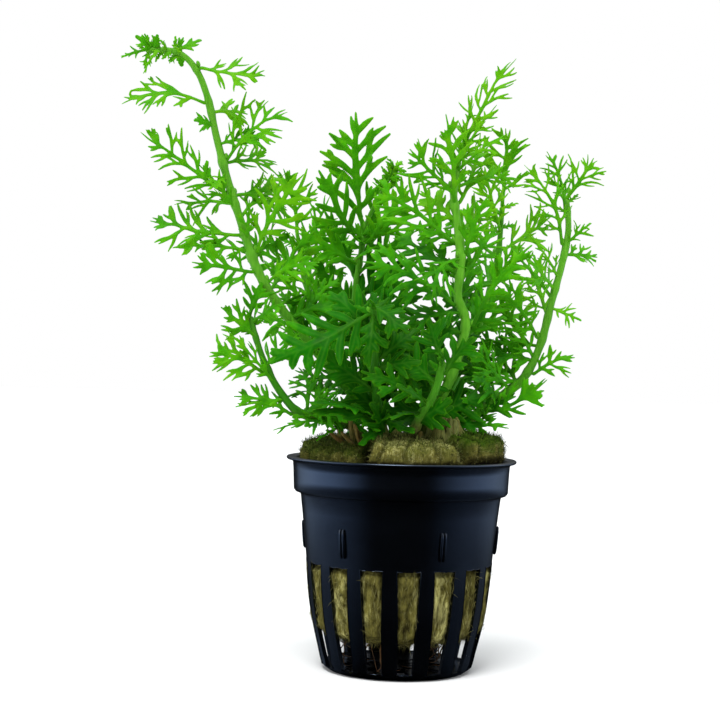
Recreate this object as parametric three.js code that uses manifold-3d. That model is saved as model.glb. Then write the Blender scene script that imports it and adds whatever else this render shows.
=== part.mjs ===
// A water sprite in a slotted net pot: a black plastic pot, a plug of rock wool, nine stems
// and their deeply cut leaves. Millimetres, +Z up. The origin is the centre of the pot's base.

import * as THREE from "three";
import { mergeVertices } from "three/addons/utils/BufferGeometryUtils.js";
import Module from "manifold-3d";

const wasm = await Module();
wasm.setup();

// Driving dimensions of the pot.
const RIM_RADIUS = 27.5;
const POT_HEIGHT = 50.5;
const WALL = 0.85;
const FLOOR = 1.0;
const ROUND_STEPS = 32;
const HALF_STEP_DEG = 180 / ROUND_STEPS;
const SLOT_COUNT = 16;
const SLOT_BOTTOM = 1.3;
const SLOT_TOP = 25.8;
const SLOT_WIDTH_TOP = 5.4;
const SLOT_WIDTH_BOTTOM = 3.6;
const SLOT_TURN_DEG = 4.6;
const DRAIN_COUNT = 8;
const DRAIN_WIDTH = 2.6;
const DRAIN_INNER = 6.5;
const DRAIN_OUTER = 14.0;
const LUG_COUNT = 6;
const LUG_TURN_DEG = 24;
const LUG_SIZE = [1.3, 1.2, 6.7];
const LUG_BOTTOM = 28.1;
const LUG_RADIUS = 22.95;

// Driving dimensions of the rock wool.
const WOOL_BOTTOM = 8.1;
const WOOL_SHOULDER = 54.4;
const WOOL_CROWN = 56.4;
const WOOL_GAP = 0.4;
const WOOL_STEPS = 20;
const WOOL_EDGE_DROOP = 1.3;

// Driving dimensions of the plant.
const LEAF_THICKNESS = 0.5;
const LEAF_SPACING = 0.15;
const JOINT_GAP = 0.3;
const STEM_SIDES = 6;
const STEM_RING_SPACING = 9;
const ROOT_HALF_WIDTH = 0.45;
const PETIOLE_SHARE = 0.13;
const RIB_HALF_WIDTH = 0.75;
const LOBE_LEAN = 0.5;
const LOBE_STAGGER = 0.3;
const LEAF_BOW = 0.08;
const LEAF_SINK = 0.1;
const SWING_STEP_DEG = 5;
const SWING_RINGS = 8;

const BLACK = new THREE.MeshStandardMaterial({ color: 0x12161d, roughness: 0.38, metalness: 0 });
const OLIVE = new THREE.MeshStandardMaterial({ color: 0x6f6a2c, roughness: 0.95, metalness: 0 });
const STALK = new THREE.MeshStandardMaterial({ color: 0x5fa32c, roughness: 0.5, metalness: 0 });
const GREEN = new THREE.MeshStandardMaterial({ color: 0x3c9a1c, roughness: 0.5, metalness: 0 });

const radians = THREE.MathUtils.degToRad;
const vector = (point) => new THREE.Vector3(...point);

// Closed geometry to a solid: only positions count, and the slivers on a turning axis go.
function toSolid(geometry) {
  const bare = geometry.index ? geometry.toNonIndexed() : geometry.clone();
  bare.deleteAttribute("normal");
  bare.deleteAttribute("uv");
  const merged = mergeVertices(bare, 1e-4);
  const index = merged.index.array;
  const kept = [];
  for (let i = 0; i < index.length; i += 3) {
    const [a, b, c] = index.slice(i, i + 3);
    if (a !== b && b !== c && c !== a) kept.push(a, b, c);
  }
  return new wasm.Manifold(
    new wasm.Mesh({
      numProp: 3,
      vertProperties: new Float32Array(merged.attributes.position.array),
      triVerts: new Uint32Array(kept),
    }),
  );
}

function toGeometry(solid) {
  const { vertProperties, triVerts } = solid.getMesh();
  const geometry = new THREE.BufferGeometry();
  geometry.setAttribute("position", new THREE.BufferAttribute(vertProperties, 3));
  geometry.setIndex(new THREE.BufferAttribute(triVerts, 1));
  return geometry;
}

// A profile of [radius, height] points turned about the Z axis.
function turned(profile, steps) {
  const points = profile.map(([radius, height]) => new THREE.Vector2(radius, height));
  const geometry = new THREE.LatheGeometry(points, steps);
  return geometry.rotateX(Math.PI / 2).rotateZ(radians(SLOT_TURN_DEG + HALF_STEP_DEG));
}

// Pot, with slots in its wall, drain slots in its floor and lugs that space stacked pots.
const OUTER_WALL = [
  [16.2, 0],
  [17.95, SLOT_BOTTOM],
  [20.8, 12],
  [22.2, SLOT_TOP],
  [24.0, 41.9],
  [25.6, 42.6],
  [25.95, POT_HEIGHT - 1.2],
  [RIM_RADIUS, POT_HEIGHT - 0.7],
  [RIM_RADIUS, POT_HEIGHT],
];

const INNER_WALL = [
  [25.95 - WALL, POT_HEIGHT],
  [24.0 - WALL, 42.3],
  [22.2 - WALL, SLOT_TOP],
  [20.8 - WALL, 12],
  [17.9 - WALL, FLOOR],
];

// The radius of a wall at a height, between its points.
function wallRadius(wall, height) {
  const rising = [...wall].sort((a, b) => a[1] - b[1]);
  const above = rising.findIndex((point) => point[1] >= height);
  if (above <= 0) return rising[0][0];
  const [low, high] = [rising[above - 1], rising[above]];
  return THREE.MathUtils.mapLinear(height, low[1], high[1], low[0], high[0]);
}

// A slot's cutter: a trapezium, wider at the top, pushed outwards through the wall.
function slotCutter(turnDeg) {
  const outline = new THREE.Shape([
    new THREE.Vector2(-SLOT_WIDTH_BOTTOM / 2, SLOT_BOTTOM),
    new THREE.Vector2(SLOT_WIDTH_BOTTOM / 2, SLOT_BOTTOM),
    new THREE.Vector2(SLOT_WIDTH_TOP / 2, SLOT_TOP),
    new THREE.Vector2(-SLOT_WIDTH_TOP / 2, SLOT_TOP),
  ]);
  const cutter = new THREE.ExtrudeGeometry(outline, { depth: 14, bevelEnabled: false });
  cutter.translate(0, 0, 12);
  return cutter.rotateX(Math.PI / 2).rotateZ(radians(turnDeg));
}

function drainCutter(turnDeg) {
  const length = DRAIN_OUTER - DRAIN_INNER;
  const cutter = new THREE.BoxGeometry(length, DRAIN_WIDTH, 3 * FLOOR);
  return cutter.translate(DRAIN_INNER + length / 2, 0, FLOOR / 2).rotateZ(radians(turnDeg));
}

function stackingLug(turnDeg) {
  const lug = new THREE.BoxGeometry(LUG_SIZE[1], LUG_SIZE[0], LUG_SIZE[2]);
  return lug.translate(LUG_RADIUS, 0, LUG_BOTTOM + LUG_SIZE[2] / 2).rotateZ(radians(turnDeg));
}

function potSolid() {
  let pot = toSolid(turned([[0, 0], ...OUTER_WALL, ...INNER_WALL, [0, FLOOR]], ROUND_STEPS));
  for (let i = 0; i < LUG_COUNT; i += 1) {
    pot = pot.add(toSolid(stackingLug(LUG_TURN_DEG - 90 + (360 / LUG_COUNT) * i)));
  }
  for (let i = 0; i < SLOT_COUNT; i += 1) {
    pot = pot.subtract(toSolid(slotCutter(SLOT_TURN_DEG + (360 / SLOT_COUNT) * i)));
  }
  for (let i = 0; i < DRAIN_COUNT; i += 1) {
    pot = pot.subtract(toSolid(drainCutter(SLOT_TURN_DEG + (360 / DRAIN_COUNT) * i)));
  }
  return pot;
}

// Stems. Each runs through its points, from its root in the wool to its tip.
const STEMS = {
  tall_left: {
    radii: [1.3, 0.6],
    points: [
      [-3, 0, 50.5], [-3.5, -0.5, 55], [-10, -3, 63], [-20.5, -6, 75], [-29.5, -8, 85.5], [-35, -9, 94],
      [-39, -10, 105], [-42, -10, 113.5], [-45, -11, 124], [-47.5, -12, 134], [-50.5, -12.5, 140.5],
      [-55, -13, 144], [-62, -14, 144],
    ],
  },
  low_left: {
    radii: [1.25, 0.6],
    points: [
      [-8, -4, 50.5], [-9, -6, 55], [-14, -9, 59], [-20, -11, 60], [-25, -12, 61.5], [-29, -12, 66],
      [-32, -12, 71], [-34.5, -11, 77], [-36.5, -10, 83.5],
    ],
  },
  back_centre: {
    radii: [1.2, 0.6],
    points: [
      [0, 5, 50.5], [-1, 6, 56], [-6, 10, 66.5], [-11.5, 12, 79.5], [-12, 13, 91], [-11, 13, 99],
      [-10.5, 12, 104.5],
    ],
  },
  tall_right: {
    radii: [1.35, 0.75],
    points: [
      [4, -4, 50.5], [4.5, -5, 56], [8.5, -8, 64.5], [12, -10, 73.5], [14, -10, 82.5], [12, -10, 89],
      [12.5, -10, 97], [11.5, -9, 106], [10.5, -8, 113.5], [11.5, -6, 121.5],
    ],
  },
  right: {
    radii: [1.25, 0.65],
    points: [
      [8, 1, 50.5], [9, 1, 55.5], [16, 0, 60], [23, -2, 65.5], [28.5, -4, 70.5], [32, -5, 78],
      [34.5, -6, 89], [36.5, -6, 97], [38, -5, 105.5], [37.5, -4, 113],
    ],
  },
  back_left: {
    radii: [1.2, 0.6],
    points: [[-5, 8, 50.5], [-6, 9, 56], [-13, 16, 66], [-20.5, 22, 81], [-25, 25, 93.5], [-27, 26, 104]],
  },
  back_right: {
    radii: [1.2, 0.6],
    points: [[6, 9, 50.5], [7, 10, 56], [13, 14, 69], [19.5, 19, 84.5], [23.5, 22, 99.5], [24.5, 22, 113.5]],
  },
  front: {
    radii: [1.15, 0.8],
    points: [[2, -9, 50.5], [2, -10.5, 55], [3.5, -16, 60.5], [6, -19, 65], [7.5, -20, 69.5], [8.5, -20, 74]],
  },
  front_left: {
    radii: [1.15, 0.7],
    points: [[-3.5, -9.5, 50.5], [-4, -11, 55], [-6.5, -15, 65], [-7, -18, 74], [-7, -19, 81], [-8, -20, 86]],
  },
};

// Leaves. `at` counts the stem's points, and a leaf leaves the stem there. `tip` is where
// its tip ends, `width` is across its lobes, and `face` is the way that its upper side looks.
const FRONT = [0, -1, 0.45];
const BACK = [0, 1, 0.45];
const UP = [0, -0.35, 1];

const LEAVES = {
  tall_left: [
    { at: 9.9, tip: [-34, -15, 138.5], width: 9.5, pairs: 4, face: FRONT, sweep: -0.1 },
    { at: 8.85, tip: [-66.5, -17, 131], width: 10.5, pairs: 4, face: FRONT, sweep: -0.1 },
    { at: 7.55, tip: [-28.5, -17, 130], width: 15, pairs: 4, face: FRONT, sweep: 0.06 },
    { at: 6.85, tip: [-62.5, -15, 125], width: 10.5, pairs: 5, face: FRONT, sweep: 0.04 },
    { at: 6.75, tip: [-29.5, 0, 108.5], width: 13, pairs: 4, face: FRONT, sweep: 0.05 },
    { at: 5.75, tip: [-60.5, -8, 105], width: 12, pairs: 5, face: FRONT, sweep: 0.06 },
    { at: 5.35, tip: [-24.5, -15, 116], width: 13, pairs: 4, face: FRONT, sweep: 0.05 },
    { at: 5.0, tip: [-49.5, -18, 95], width: 11, pairs: 4, face: FRONT, sweep: 0.04 },
    { at: 4.65, tip: [-20.5, -12, 96], width: 9, pairs: 4, face: FRONT, sweep: 0.08 },
  ],
  low_left: [
    { at: 5.9, tip: [-45, -15, 74.5], width: 11, pairs: 4, face: FRONT, sweep: -0.05 },
    { at: 4.0, tip: [-38.5, -14, 66.5], width: 8.5, pairs: 4, face: FRONT, sweep: -0.08 },
    { at: 1.9, tip: [-26.5, -21, 60.5], width: 9, pairs: 4, face: UP, sweep: -0.06 },
    { at: 3.5, tip: [-29, -3, 72.5], width: 8, pairs: 3, face: FRONT, sweep: -0.08 },
  ],
  back_centre: [
    { at: 6.0, tip: [-13, 8, 134], width: 18, pairs: 5, face: FRONT, sweep: 0.03 },
    { at: 5.7, tip: [-21, 5, 120], width: 12.5, pairs: 4, face: FRONT, sweep: 0.04 },
    { at: 4.75, tip: [-26, 6, 105], width: 13, pairs: 4, face: FRONT, sweep: 0.05 },
    { at: 5.6, tip: [0, 4, 116], width: 13, pairs: 4, face: FRONT, sweep: -0.05 },
    { at: 2.9, tip: [4, 1, 91], width: 12, pairs: 4, face: FRONT, sweep: 0.05 },
  ],
  tall_right: [
    { at: 3.95, tip: [28.5, -14, 101], width: 9, pairs: 5, face: FRONT, sweep: 0.05 },
    { at: 4.75, tip: [-10.5, -20, 96], width: 15, pairs: 5, face: FRONT, sweep: -0.04 },
    { at: 6.1, tip: [5.5, -22, 87], width: 10, pairs: 3, face: FRONT, sweep: -0.12 },
    { at: 6.2, tip: [18.5, -13, 112.5], width: 8, pairs: 4, face: FRONT, sweep: 0.06 },
    { at: 8.1, tip: [1, -14, 123], width: 12, pairs: 4, face: FRONT, sweep: 0.06 },
    { at: 7.6, tip: [17.5, 2, 127], width: 12, pairs: 4, face: FRONT, sweep: -0.04 },
    { at: 9.0, tip: [24.5, -7, 145.5], width: 9, pairs: 5, face: FRONT, sweep: 0.03 },
    { at: 8.2, tip: [26, -4, 117], width: 9, pairs: 4, face: FRONT, sweep: 0.06 },
    { at: 6.5, tip: [-8, -14, 115.5], width: 13, pairs: 5, face: FRONT, sweep: 0.02 },
  ],
  right: [
    { at: 9.0, tip: [43.5, -6, 122.5], width: 12, pairs: 3, face: FRONT, sweep: -0.05 },
    { at: 8.6, tip: [32, -9, 123.5], width: 8, pairs: 4, face: FRONT, sweep: -0.05 },
    { at: 7.55, tip: [26, -10, 120], width: 10.5, pairs: 5, face: FRONT, sweep: -0.08 },
    { at: 6.3, tip: [27.5, -15, 98.5], width: 9.5, pairs: 4, face: FRONT, sweep: 0.04 },
    { at: 5.15, tip: [21, -8, 92], width: 11.5, pairs: 4, face: FRONT, sweep: -0.04 },
    { at: 4.2, tip: [39.5, -8, 76], width: 8, pairs: 3, face: FRONT, sweep: 0.05 },
    { at: 2.5, tip: [33, -12, 70], width: 9.5, pairs: 4, face: FRONT, sweep: -0.12 },
    { at: 3.4, tip: [15, -13, 77.5], width: 10, pairs: 4, face: FRONT, sweep: 0.05 },
  ],
  back_left: [
    { at: 5.0, tip: [-31, 22, 121.5], width: 13, pairs: 4, face: BACK, sweep: 0.04 },
    { at: 4.2, tip: [-43, 32, 105], width: 13, pairs: 4, face: BACK, sweep: -0.05 },
    { at: 4.0, tip: [-15.5, 32, 109], width: 13, pairs: 4, face: BACK, sweep: 0.05 },
    { at: 3.0, tip: [-37.5, 34, 85.5], width: 13, pairs: 4, face: BACK, sweep: -0.05 },
    { at: 2.9, tip: [-8, 34, 92.5], width: 13, pairs: 4, face: BACK, sweep: 0.05 },
  ],
  back_right: [
    { at: 5.0, tip: [24.5, 18, 132.5], width: 14, pairs: 4, face: BACK, sweep: 0.03 },
    { at: 4.2, tip: [38, 28, 112], width: 13, pairs: 4, face: BACK, sweep: 0.05 },
    { at: 4.1, tip: [11, 30, 112.5], width: 13, pairs: 4, face: BACK, sweep: -0.05 },
    { at: 3.0, tip: [35.5, 32, 87.5], width: 13, pairs: 4, face: BACK, sweep: 0.05 },
    { at: 2.9, tip: [10, 34, 92.5], width: 13, pairs: 4, face: BACK, sweep: -0.05 },
  ],
  front: [
    { at: 5.0, tip: [4.5, -27, 84.5], width: 12, pairs: 3, face: FRONT, sweep: 0.1 },
    { at: 4.3, tip: [15.5, -24, 79], width: 9, pairs: 3, face: FRONT, sweep: 0.08 },
  ],
  front_left: [
    { at: 4.7, tip: [-30.5, -25, 72.5], width: 17, pairs: 5, face: FRONT, sweep: 0.06 },
    { at: 1.6, tip: [-21, -27, 63.5], width: 11, pairs: 3, face: UP, sweep: 0.06 },
  ],
};

// Small young leaves and those deep in the crowd, which are one piece with their stem.
const INNER_LEAVES = {
  tall_left: [
    { at: 12, tip: [-67.5, -14, 142], width: 4, pairs: 2, face: FRONT },
    { at: 11.7, tip: [-59, -15, 147.5], width: 4, pairs: 2, face: FRONT },
    { at: 11, tip: [-49, -12, 147], width: 5, pairs: 2, face: FRONT },
    { at: 8.6, tip: [-38.5, -6, 131], width: 8, pairs: 3, face: FRONT },
    { at: 7.5, tip: [-31.5, -4, 120], width: 9, pairs: 3, face: FRONT },
    { at: 6.5, tip: [-55.5, -3, 109.5], width: 9, pairs: 3, face: BACK },
    { at: 5.3, tip: [-27, 2, 103], width: 10, pairs: 3, face: BACK },
    { at: 4.1, tip: [-19.5, 3, 86], width: 12, pairs: 3, face: BACK },
    { at: 2.5, tip: [-26, 6, 68], width: 11, pairs: 3, face: BACK },
  ],
  low_left: [
    { at: 7.2, tip: [-43, -13, 85], width: 8, pairs: 3, face: FRONT },
    { at: 6.1, tip: [-24.5, -16, 79.5], width: 8, pairs: 3, face: FRONT },
    { at: 8, tip: [-34, -10, 91], width: 8, pairs: 3, face: FRONT },
    { at: 7.7, tip: [-28, -15, 86.5], width: 7, pairs: 3, face: FRONT },
  ],
  back_centre: [
    { at: 3.2, tip: [0, 22, 94], width: 11, pairs: 3, face: BACK },
    { at: 1.7, tip: [-17, 3, 73], width: 12, pairs: 3, face: FRONT },
    { at: 2.2, tip: [4, 6, 83], width: 13, pairs: 3, face: FRONT },
    { at: 1.4, tip: [7, 6, 71], width: 12, pairs: 3, face: FRONT },
    { at: 5.5, tip: [-3, 14, 120], width: 11, pairs: 3, face: BACK },
  ],
  tall_right: [
    { at: 8.6, tip: [22.5, -12, 127], width: 7, pairs: 3, face: FRONT },
    { at: 7.5, tip: [8, -13, 131], width: 11, pairs: 4, face: FRONT },
    { at: 6.6, tip: [20, 3, 112], width: 11, pairs: 3, face: BACK },
    { at: 5.6, tip: [-3, -3, 103.5], width: 13, pairs: 4, face: FRONT },
    { at: 4.4, tip: [17, 2, 101], width: 12, pairs: 3, face: BACK },
    { at: 2.7, tip: [-1, -4, 80], width: 13, pairs: 3, face: FRONT },
    { at: 1.6, tip: [20, -8, 66], width: 12, pairs: 3, face: FRONT },
  ],
  right: [
    { at: 7.3, tip: [45.5, -1, 99.5], width: 7, pairs: 3, face: FRONT },
    { at: 1.7, tip: [24.5, -11, 58.5], width: 7, pairs: 3, face: FRONT },
    { at: 2.4, tip: [21, 5, 78], width: 12, pairs: 3, face: BACK },
    { at: 5.6, tip: [30, 4, 97.5], width: 10, pairs: 3, face: BACK },
    { at: 3.7, tip: [18, 2, 82], width: 11, pairs: 3, face: BACK },
  ],
  back_left: [
    { at: 1.9, tip: [-23, 22, 66], width: 10, pairs: 3, face: UP },
    { at: 1.6, tip: [0, 24, 70], width: 11, pairs: 3, face: BACK },
    { at: 3.6, tip: [-24, 40, 100], width: 12, pairs: 3, face: BACK },
  ],
  back_right: [
    { at: 2.0, tip: [29, 25, 70], width: 10, pairs: 3, face: UP },
    { at: 3.5, tip: [22, 38, 104], width: 12, pairs: 3, face: BACK },
  ],
  front: [
    { at: 2.6, tip: [-2, -27, 68], width: 6, pairs: 2, face: FRONT },
    { at: 2.2, tip: [-3, -25, 60.5], width: 5, pairs: 2, face: UP },
    { at: 1.6, tip: [11, -14, 63], width: 9, pairs: 3, face: FRONT },
  ],
  front_left: [
    { at: 5, tip: [0, -26, 80], width: 8, pairs: 3, face: FRONT },
    { at: 2.7, tip: [3, -24, 73.5], width: 8, pairs: 3, face: FRONT },
    { at: 1.6, tip: [-14, -13, 69], width: 10, pairs: 3, face: FRONT },
  ],
};

function stemCurve(stem) {
  return new THREE.CatmullRomCurve3(stem.points.map(vector), false, "catmullrom", 0.5);
}

// A tapering stalk: a straight cylinder, each ring of which is carried onto the curve.
function stemGeometry(stem, extra = 0) {
  const curve = stemCurve(stem);
  const steps = Math.round(curve.getLength() / STEM_RING_SPACING) + 1;
  const [rootRadius, tipRadius] = stem.radii.map((radius) => radius + extra);
  const stalk = new THREE.CylinderGeometry(tipRadius, rootRadius, 1, STEM_SIDES, steps);
  const frames = curve.computeFrenetFrames(steps, false);
  const place = stalk.getAttribute("position");
  const spot = new THREE.Vector3();
  for (let i = 0; i < place.count; i += 1) {
    const share = place.getY(i) + 0.5;
    const ring = Math.round(share * steps);
    curve.getPointAt(share, spot);
    spot.addScaledVector(frames.tangents[ring], ring === 0 ? -extra : 0);
    spot.addScaledVector(frames.normals[ring], place.getZ(i));
    spot.addScaledVector(frames.binormals[ring], place.getX(i));
    place.setXYZ(i, ...spot);
  }
  return stalk;
}

// One side of a leaf, from its root to its tip: a notch and a lobe's point in turn. The lobes
// are longest in the middle and lean forward, and those of the two sides are out of step.
function lobedEdge(leaf, length, side, grow) {
  const petiole = PETIOLE_SHARE * length;
  const pitch = (length - petiole) / (leaf.pairs + 0.8);
  const rib = (s) => RIB_HALF_WIDTH * (1 - (0.5 * s) / length) + grow;
  return Array.from({ length: leaf.pairs }, (_, i) => {
    const along = i / Math.max(leaf.pairs - 1, 1);
    const notch = petiole + (i + (side > 0 ? 0 : LOBE_STAGGER)) * pitch;
    const reach = (leaf.width / 2) * (0.3 + 0.7 * Math.sin(Math.PI * (0.2 + 0.75 * along)));
    return [
      new THREE.Vector2(notch, side * rib(notch)),
      new THREE.Vector2(notch + LOBE_LEAN * reach + 0.5 * pitch, side * (reach + grow)),
    ];
  }).flat();
}

function leafOutline(leaf, length, grow) {
  const half = ROOT_HALF_WIDTH + grow;
  const root = [new THREE.Vector2(0, half), new THREE.Vector2(0, -half)];
  const tip = new THREE.Vector2(length + grow, 0);
  return new THREE.Shape([
    ...root,
    ...lobedEdge(leaf, length, -1, grow),
    tip,
    ...lobedEdge(leaf, length, 1, grow).reverse(),
  ]);
}

// A flat leaf along +X that faces +Z, bent: its middle bows up and sideways, its sides sink.
function leafGeometry(leaf, length, grow = 0) {
  const outline = leafOutline(leaf, length, grow);
  const thickness = LEAF_THICKNESS + 2 * grow;
  const blade = new THREE.ExtrudeGeometry(outline, { depth: thickness, bevelEnabled: false });
  blade.translate(0, 0, -thickness / 2);
  const place = blade.getAttribute("position");
  for (let i = 0; i < place.count; i += 1) {
    const [s, w, z] = [place.getX(i), place.getY(i), place.getZ(i)];
    const arch = (4 * s * (length - s)) / length;
    const sunk = (LEAF_SINK * w * w) / (leaf.width / 2);
    place.setXYZ(i, s, w + (leaf.sweep ?? 0) * arch, z + LEAF_BOW * arch - sunk);
  }
  return blade;
}

// Where a leaf starts and how it is turned: it leaves the side of the stem that its tip is on,
// just clear of the stem's skin, or from the stem's middle where the two are one piece.
function leafPose(leaf, stem, joined) {
  const curve = stemCurve(stem);
  const share = leaf.at / (stem.points.length - 1);
  const centre = curve.getPoint(share);
  const tangent = curve.getTangent(share);
  const radius = THREE.MathUtils.lerp(stem.radii[0], stem.radii[1], share);
  const aim = vector(leaf.tip).sub(centre).normalize();
  const out = aim.clone().addScaledVector(tangent, -aim.dot(tangent));
  const along = share === 1 ? aim.clone() : out.normalize();
  const slant = Math.abs(aim.dot(tangent)) * ROOT_HALF_WIDTH;
  const root = centre.addScaledVector(along, joined ? 0 : radius + JOINT_GAP + slant);
  const chord = vector(leaf.tip).sub(root).normalize();
  const normal = vector(leaf.face).addScaledVector(chord, -vector(leaf.face).dot(chord)).normalize();
  const side = new THREE.Vector3().crossVectors(normal, chord);
  const basis = new THREE.Matrix4().makeBasis(chord, side, normal);
  const turn = new THREE.Quaternion().setFromRotationMatrix(basis);
  return { root, turn, length: root.distanceTo(vector(leaf.tip)) };
}

function placed(geometry, root, turn) {
  const copy = geometry.clone().applyQuaternion(turn);
  return copy.translate(root.x, root.y, root.z);
}

// A leaf in a crowd grows where there is room: it is tried as drawn, and then swung about its
// root in widening rings, with and without a roll, until it is clear of all that stands there.
function swings() {
  const turns = [new THREE.Quaternion()];
  for (let ring = 1; ring <= SWING_RINGS; ring += 1) {
    const reach = radians(ring * SWING_STEP_DEG);
    for (const roll of [0, 1, -1]) {
      const rolled = new THREE.Quaternion().setFromAxisAngle(vector([1, 0, 0]), roll * reach);
      for (let way = 0; way < 8; way += 1) {
        const axis = vector([0, Math.cos((way * Math.PI) / 4), Math.sin((way * Math.PI) / 4)]);
        turns.push(new THREE.Quaternion().setFromAxisAngle(axis, reach).multiply(rolled));
      }
      if (roll !== 0) turns.push(rolled);
    }
  }
  return turns;
}

function clearTurn(name, leaf, pose, standing) {
  const geometry = leafGeometry(leaf, pose.length, LEAF_SPACING);
  const hits = [];
  for (const swing of swings()) {
    const turn = pose.turn.clone().multiply(swing);
    const trial = placed(geometry, pose.root, turn);
    trial.computeBoundingBox();
    const near = standing.filter(({ box }) => box.intersectsBox(trial.boundingBox));
    const solid = toSolid(trial);
    const hit = near.find((other) => solid.intersect(other.solid).getMesh().triVerts.length > 0);
    if (!hit) return turn;
    hits.push(hit.name);
  }
  throw new Error(`no room for ${name} between ${[...new Set(hits)]}`);
}

// Rock wool: it fills the pot behind the slots, hangs free of the floor and stands proud
// of the rim, in pleats. The stems are planted in it.
function woolSolid() {
  const skin = (height) => wallRadius(INNER_WALL, height) - WOOL_GAP;
  const profile = [
    [0, WOOL_BOTTOM + 1],
    [skin(WOOL_BOTTOM) - 1.2, WOOL_BOTTOM],
    [skin(12), 12],
    [skin(SLOT_TOP), SLOT_TOP],
    [skin(42.3), 42.3],
    [skin(POT_HEIGHT), POT_HEIGHT],
    [24.5, WOOL_SHOULDER],
    [20, WOOL_CROWN - 0.8],
    [9, WOOL_CROWN],
    [0, WOOL_CROWN],
  ];
  const plug = turned(profile, WOOL_STEPS);
  const place = plug.getAttribute("position");
  for (let i = 0; i < place.count; i += 1) {
    const [x, y, z] = [place.getX(i), place.getY(i), place.getZ(i)];
    if (z < POT_HEIGHT || Math.hypot(x, y) < 10) continue;
    const pleat = 0.5 - 0.5 * Math.cos(5 * Math.atan2(y, x) + 0.8 * Math.sin(3 * Math.atan2(y, x)));
    place.setXYZ(i, x * (1 - 0.03 * pleat), y * (1 - 0.03 * pleat), z - WOOL_EDGE_DROOP * pleat);
  }
  return toSolid(plug);
}

function named(name, geometry, material) {
  const mesh = new THREE.Mesh(geometry, material);
  mesh.name = name;
  return mesh;
}

const plant = new THREE.Group();
const standing = [];

function stand(name, solid) {
  const geometry = toGeometry(solid);
  geometry.computeBoundingBox();
  standing.push({ name, solid, box: geometry.boundingBox });
  return geometry;
}

plant.add(named("net_pot", stand("net_pot", potSolid()), BLACK));

let wool = woolSolid();
for (const stem of Object.values(STEMS)) {
  wool = wool.subtract(toSolid(stemGeometry(stem, JOINT_GAP)));
}
plant.add(named("rock_wool", stand("rock_wool", wool), OLIVE));

for (const [name, stem] of Object.entries(STEMS)) {
  let solid = toSolid(stemGeometry(stem));
  for (const leaf of INNER_LEAVES[name]) {
    const pose = leafPose(leaf, stem, true);
    const turn = clearTurn(`inner leaf of ${name}`, leaf, pose, standing);
    const blade = leafGeometry(leaf, pose.length);
    solid = solid.add(toSolid(placed(blade, pose.root, turn)));
  }
  plant.add(named(`stem_${name}`, stand(`stem_${name}`, solid), STALK));
}

for (const [stemName, leaves] of Object.entries(LEAVES)) {
  leaves.forEach((leaf, i) => {
    const name = `leaf_${stemName}_${i + 1}`;
    const pose = leafPose(leaf, STEMS[stemName], false);
    const turn = clearTurn(name, leaf, pose, standing);
    const blade = leafGeometry(leaf, pose.length);
    const mesh = named(name, blade, GREEN);
    mesh.position.copy(pose.root);
    mesh.quaternion.copy(turn);
    plant.add(mesh);
    stand(name, toSolid(placed(blade, pose.root, turn)));
  });
}

export default plant;
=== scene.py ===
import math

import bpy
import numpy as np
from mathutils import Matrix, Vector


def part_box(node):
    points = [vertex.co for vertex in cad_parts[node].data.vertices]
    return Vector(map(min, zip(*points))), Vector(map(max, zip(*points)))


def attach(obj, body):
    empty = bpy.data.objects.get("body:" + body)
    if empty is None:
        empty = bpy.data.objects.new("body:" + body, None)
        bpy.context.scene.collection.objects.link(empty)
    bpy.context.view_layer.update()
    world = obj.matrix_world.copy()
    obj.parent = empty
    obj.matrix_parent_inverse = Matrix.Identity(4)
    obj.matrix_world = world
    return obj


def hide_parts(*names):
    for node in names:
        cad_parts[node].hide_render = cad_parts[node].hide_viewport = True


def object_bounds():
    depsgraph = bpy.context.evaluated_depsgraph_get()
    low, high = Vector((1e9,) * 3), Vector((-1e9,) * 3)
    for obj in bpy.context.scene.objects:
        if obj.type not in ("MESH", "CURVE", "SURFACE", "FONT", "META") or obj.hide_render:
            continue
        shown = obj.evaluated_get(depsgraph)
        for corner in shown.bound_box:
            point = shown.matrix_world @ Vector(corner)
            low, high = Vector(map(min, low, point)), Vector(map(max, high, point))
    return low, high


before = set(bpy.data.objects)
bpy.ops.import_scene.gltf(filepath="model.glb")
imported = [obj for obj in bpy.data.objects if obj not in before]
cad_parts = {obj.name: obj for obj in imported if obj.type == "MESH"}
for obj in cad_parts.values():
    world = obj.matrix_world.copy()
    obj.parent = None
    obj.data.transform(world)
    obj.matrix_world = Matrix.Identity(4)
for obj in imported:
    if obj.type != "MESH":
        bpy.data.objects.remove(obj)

# A potted water sprite: a slotted black net pot, a plug of rock wool, nine stems and their
# deeply cut leaves. Tables and functions count in millimetres, in the frame of the packed
# model, and every mesh is in metres.

bl_info = {
    "name": "Potted Water Sprite",
    "version": (1, 0, 0),
    "blender": (4, 5, 0),
    "location": "3D View > Sidebar > Water Sprite",
    "description": "Builds a water sprite that grows in rock wool in a net pot",
    "category": "Add Mesh",
}

MM = 0.001
CAD_BOX = np.array([list(corner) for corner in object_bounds()]) / MM
POT_BOX = np.array([list(corner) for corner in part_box("net_pot")]) / MM

# The plant's tables

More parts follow.
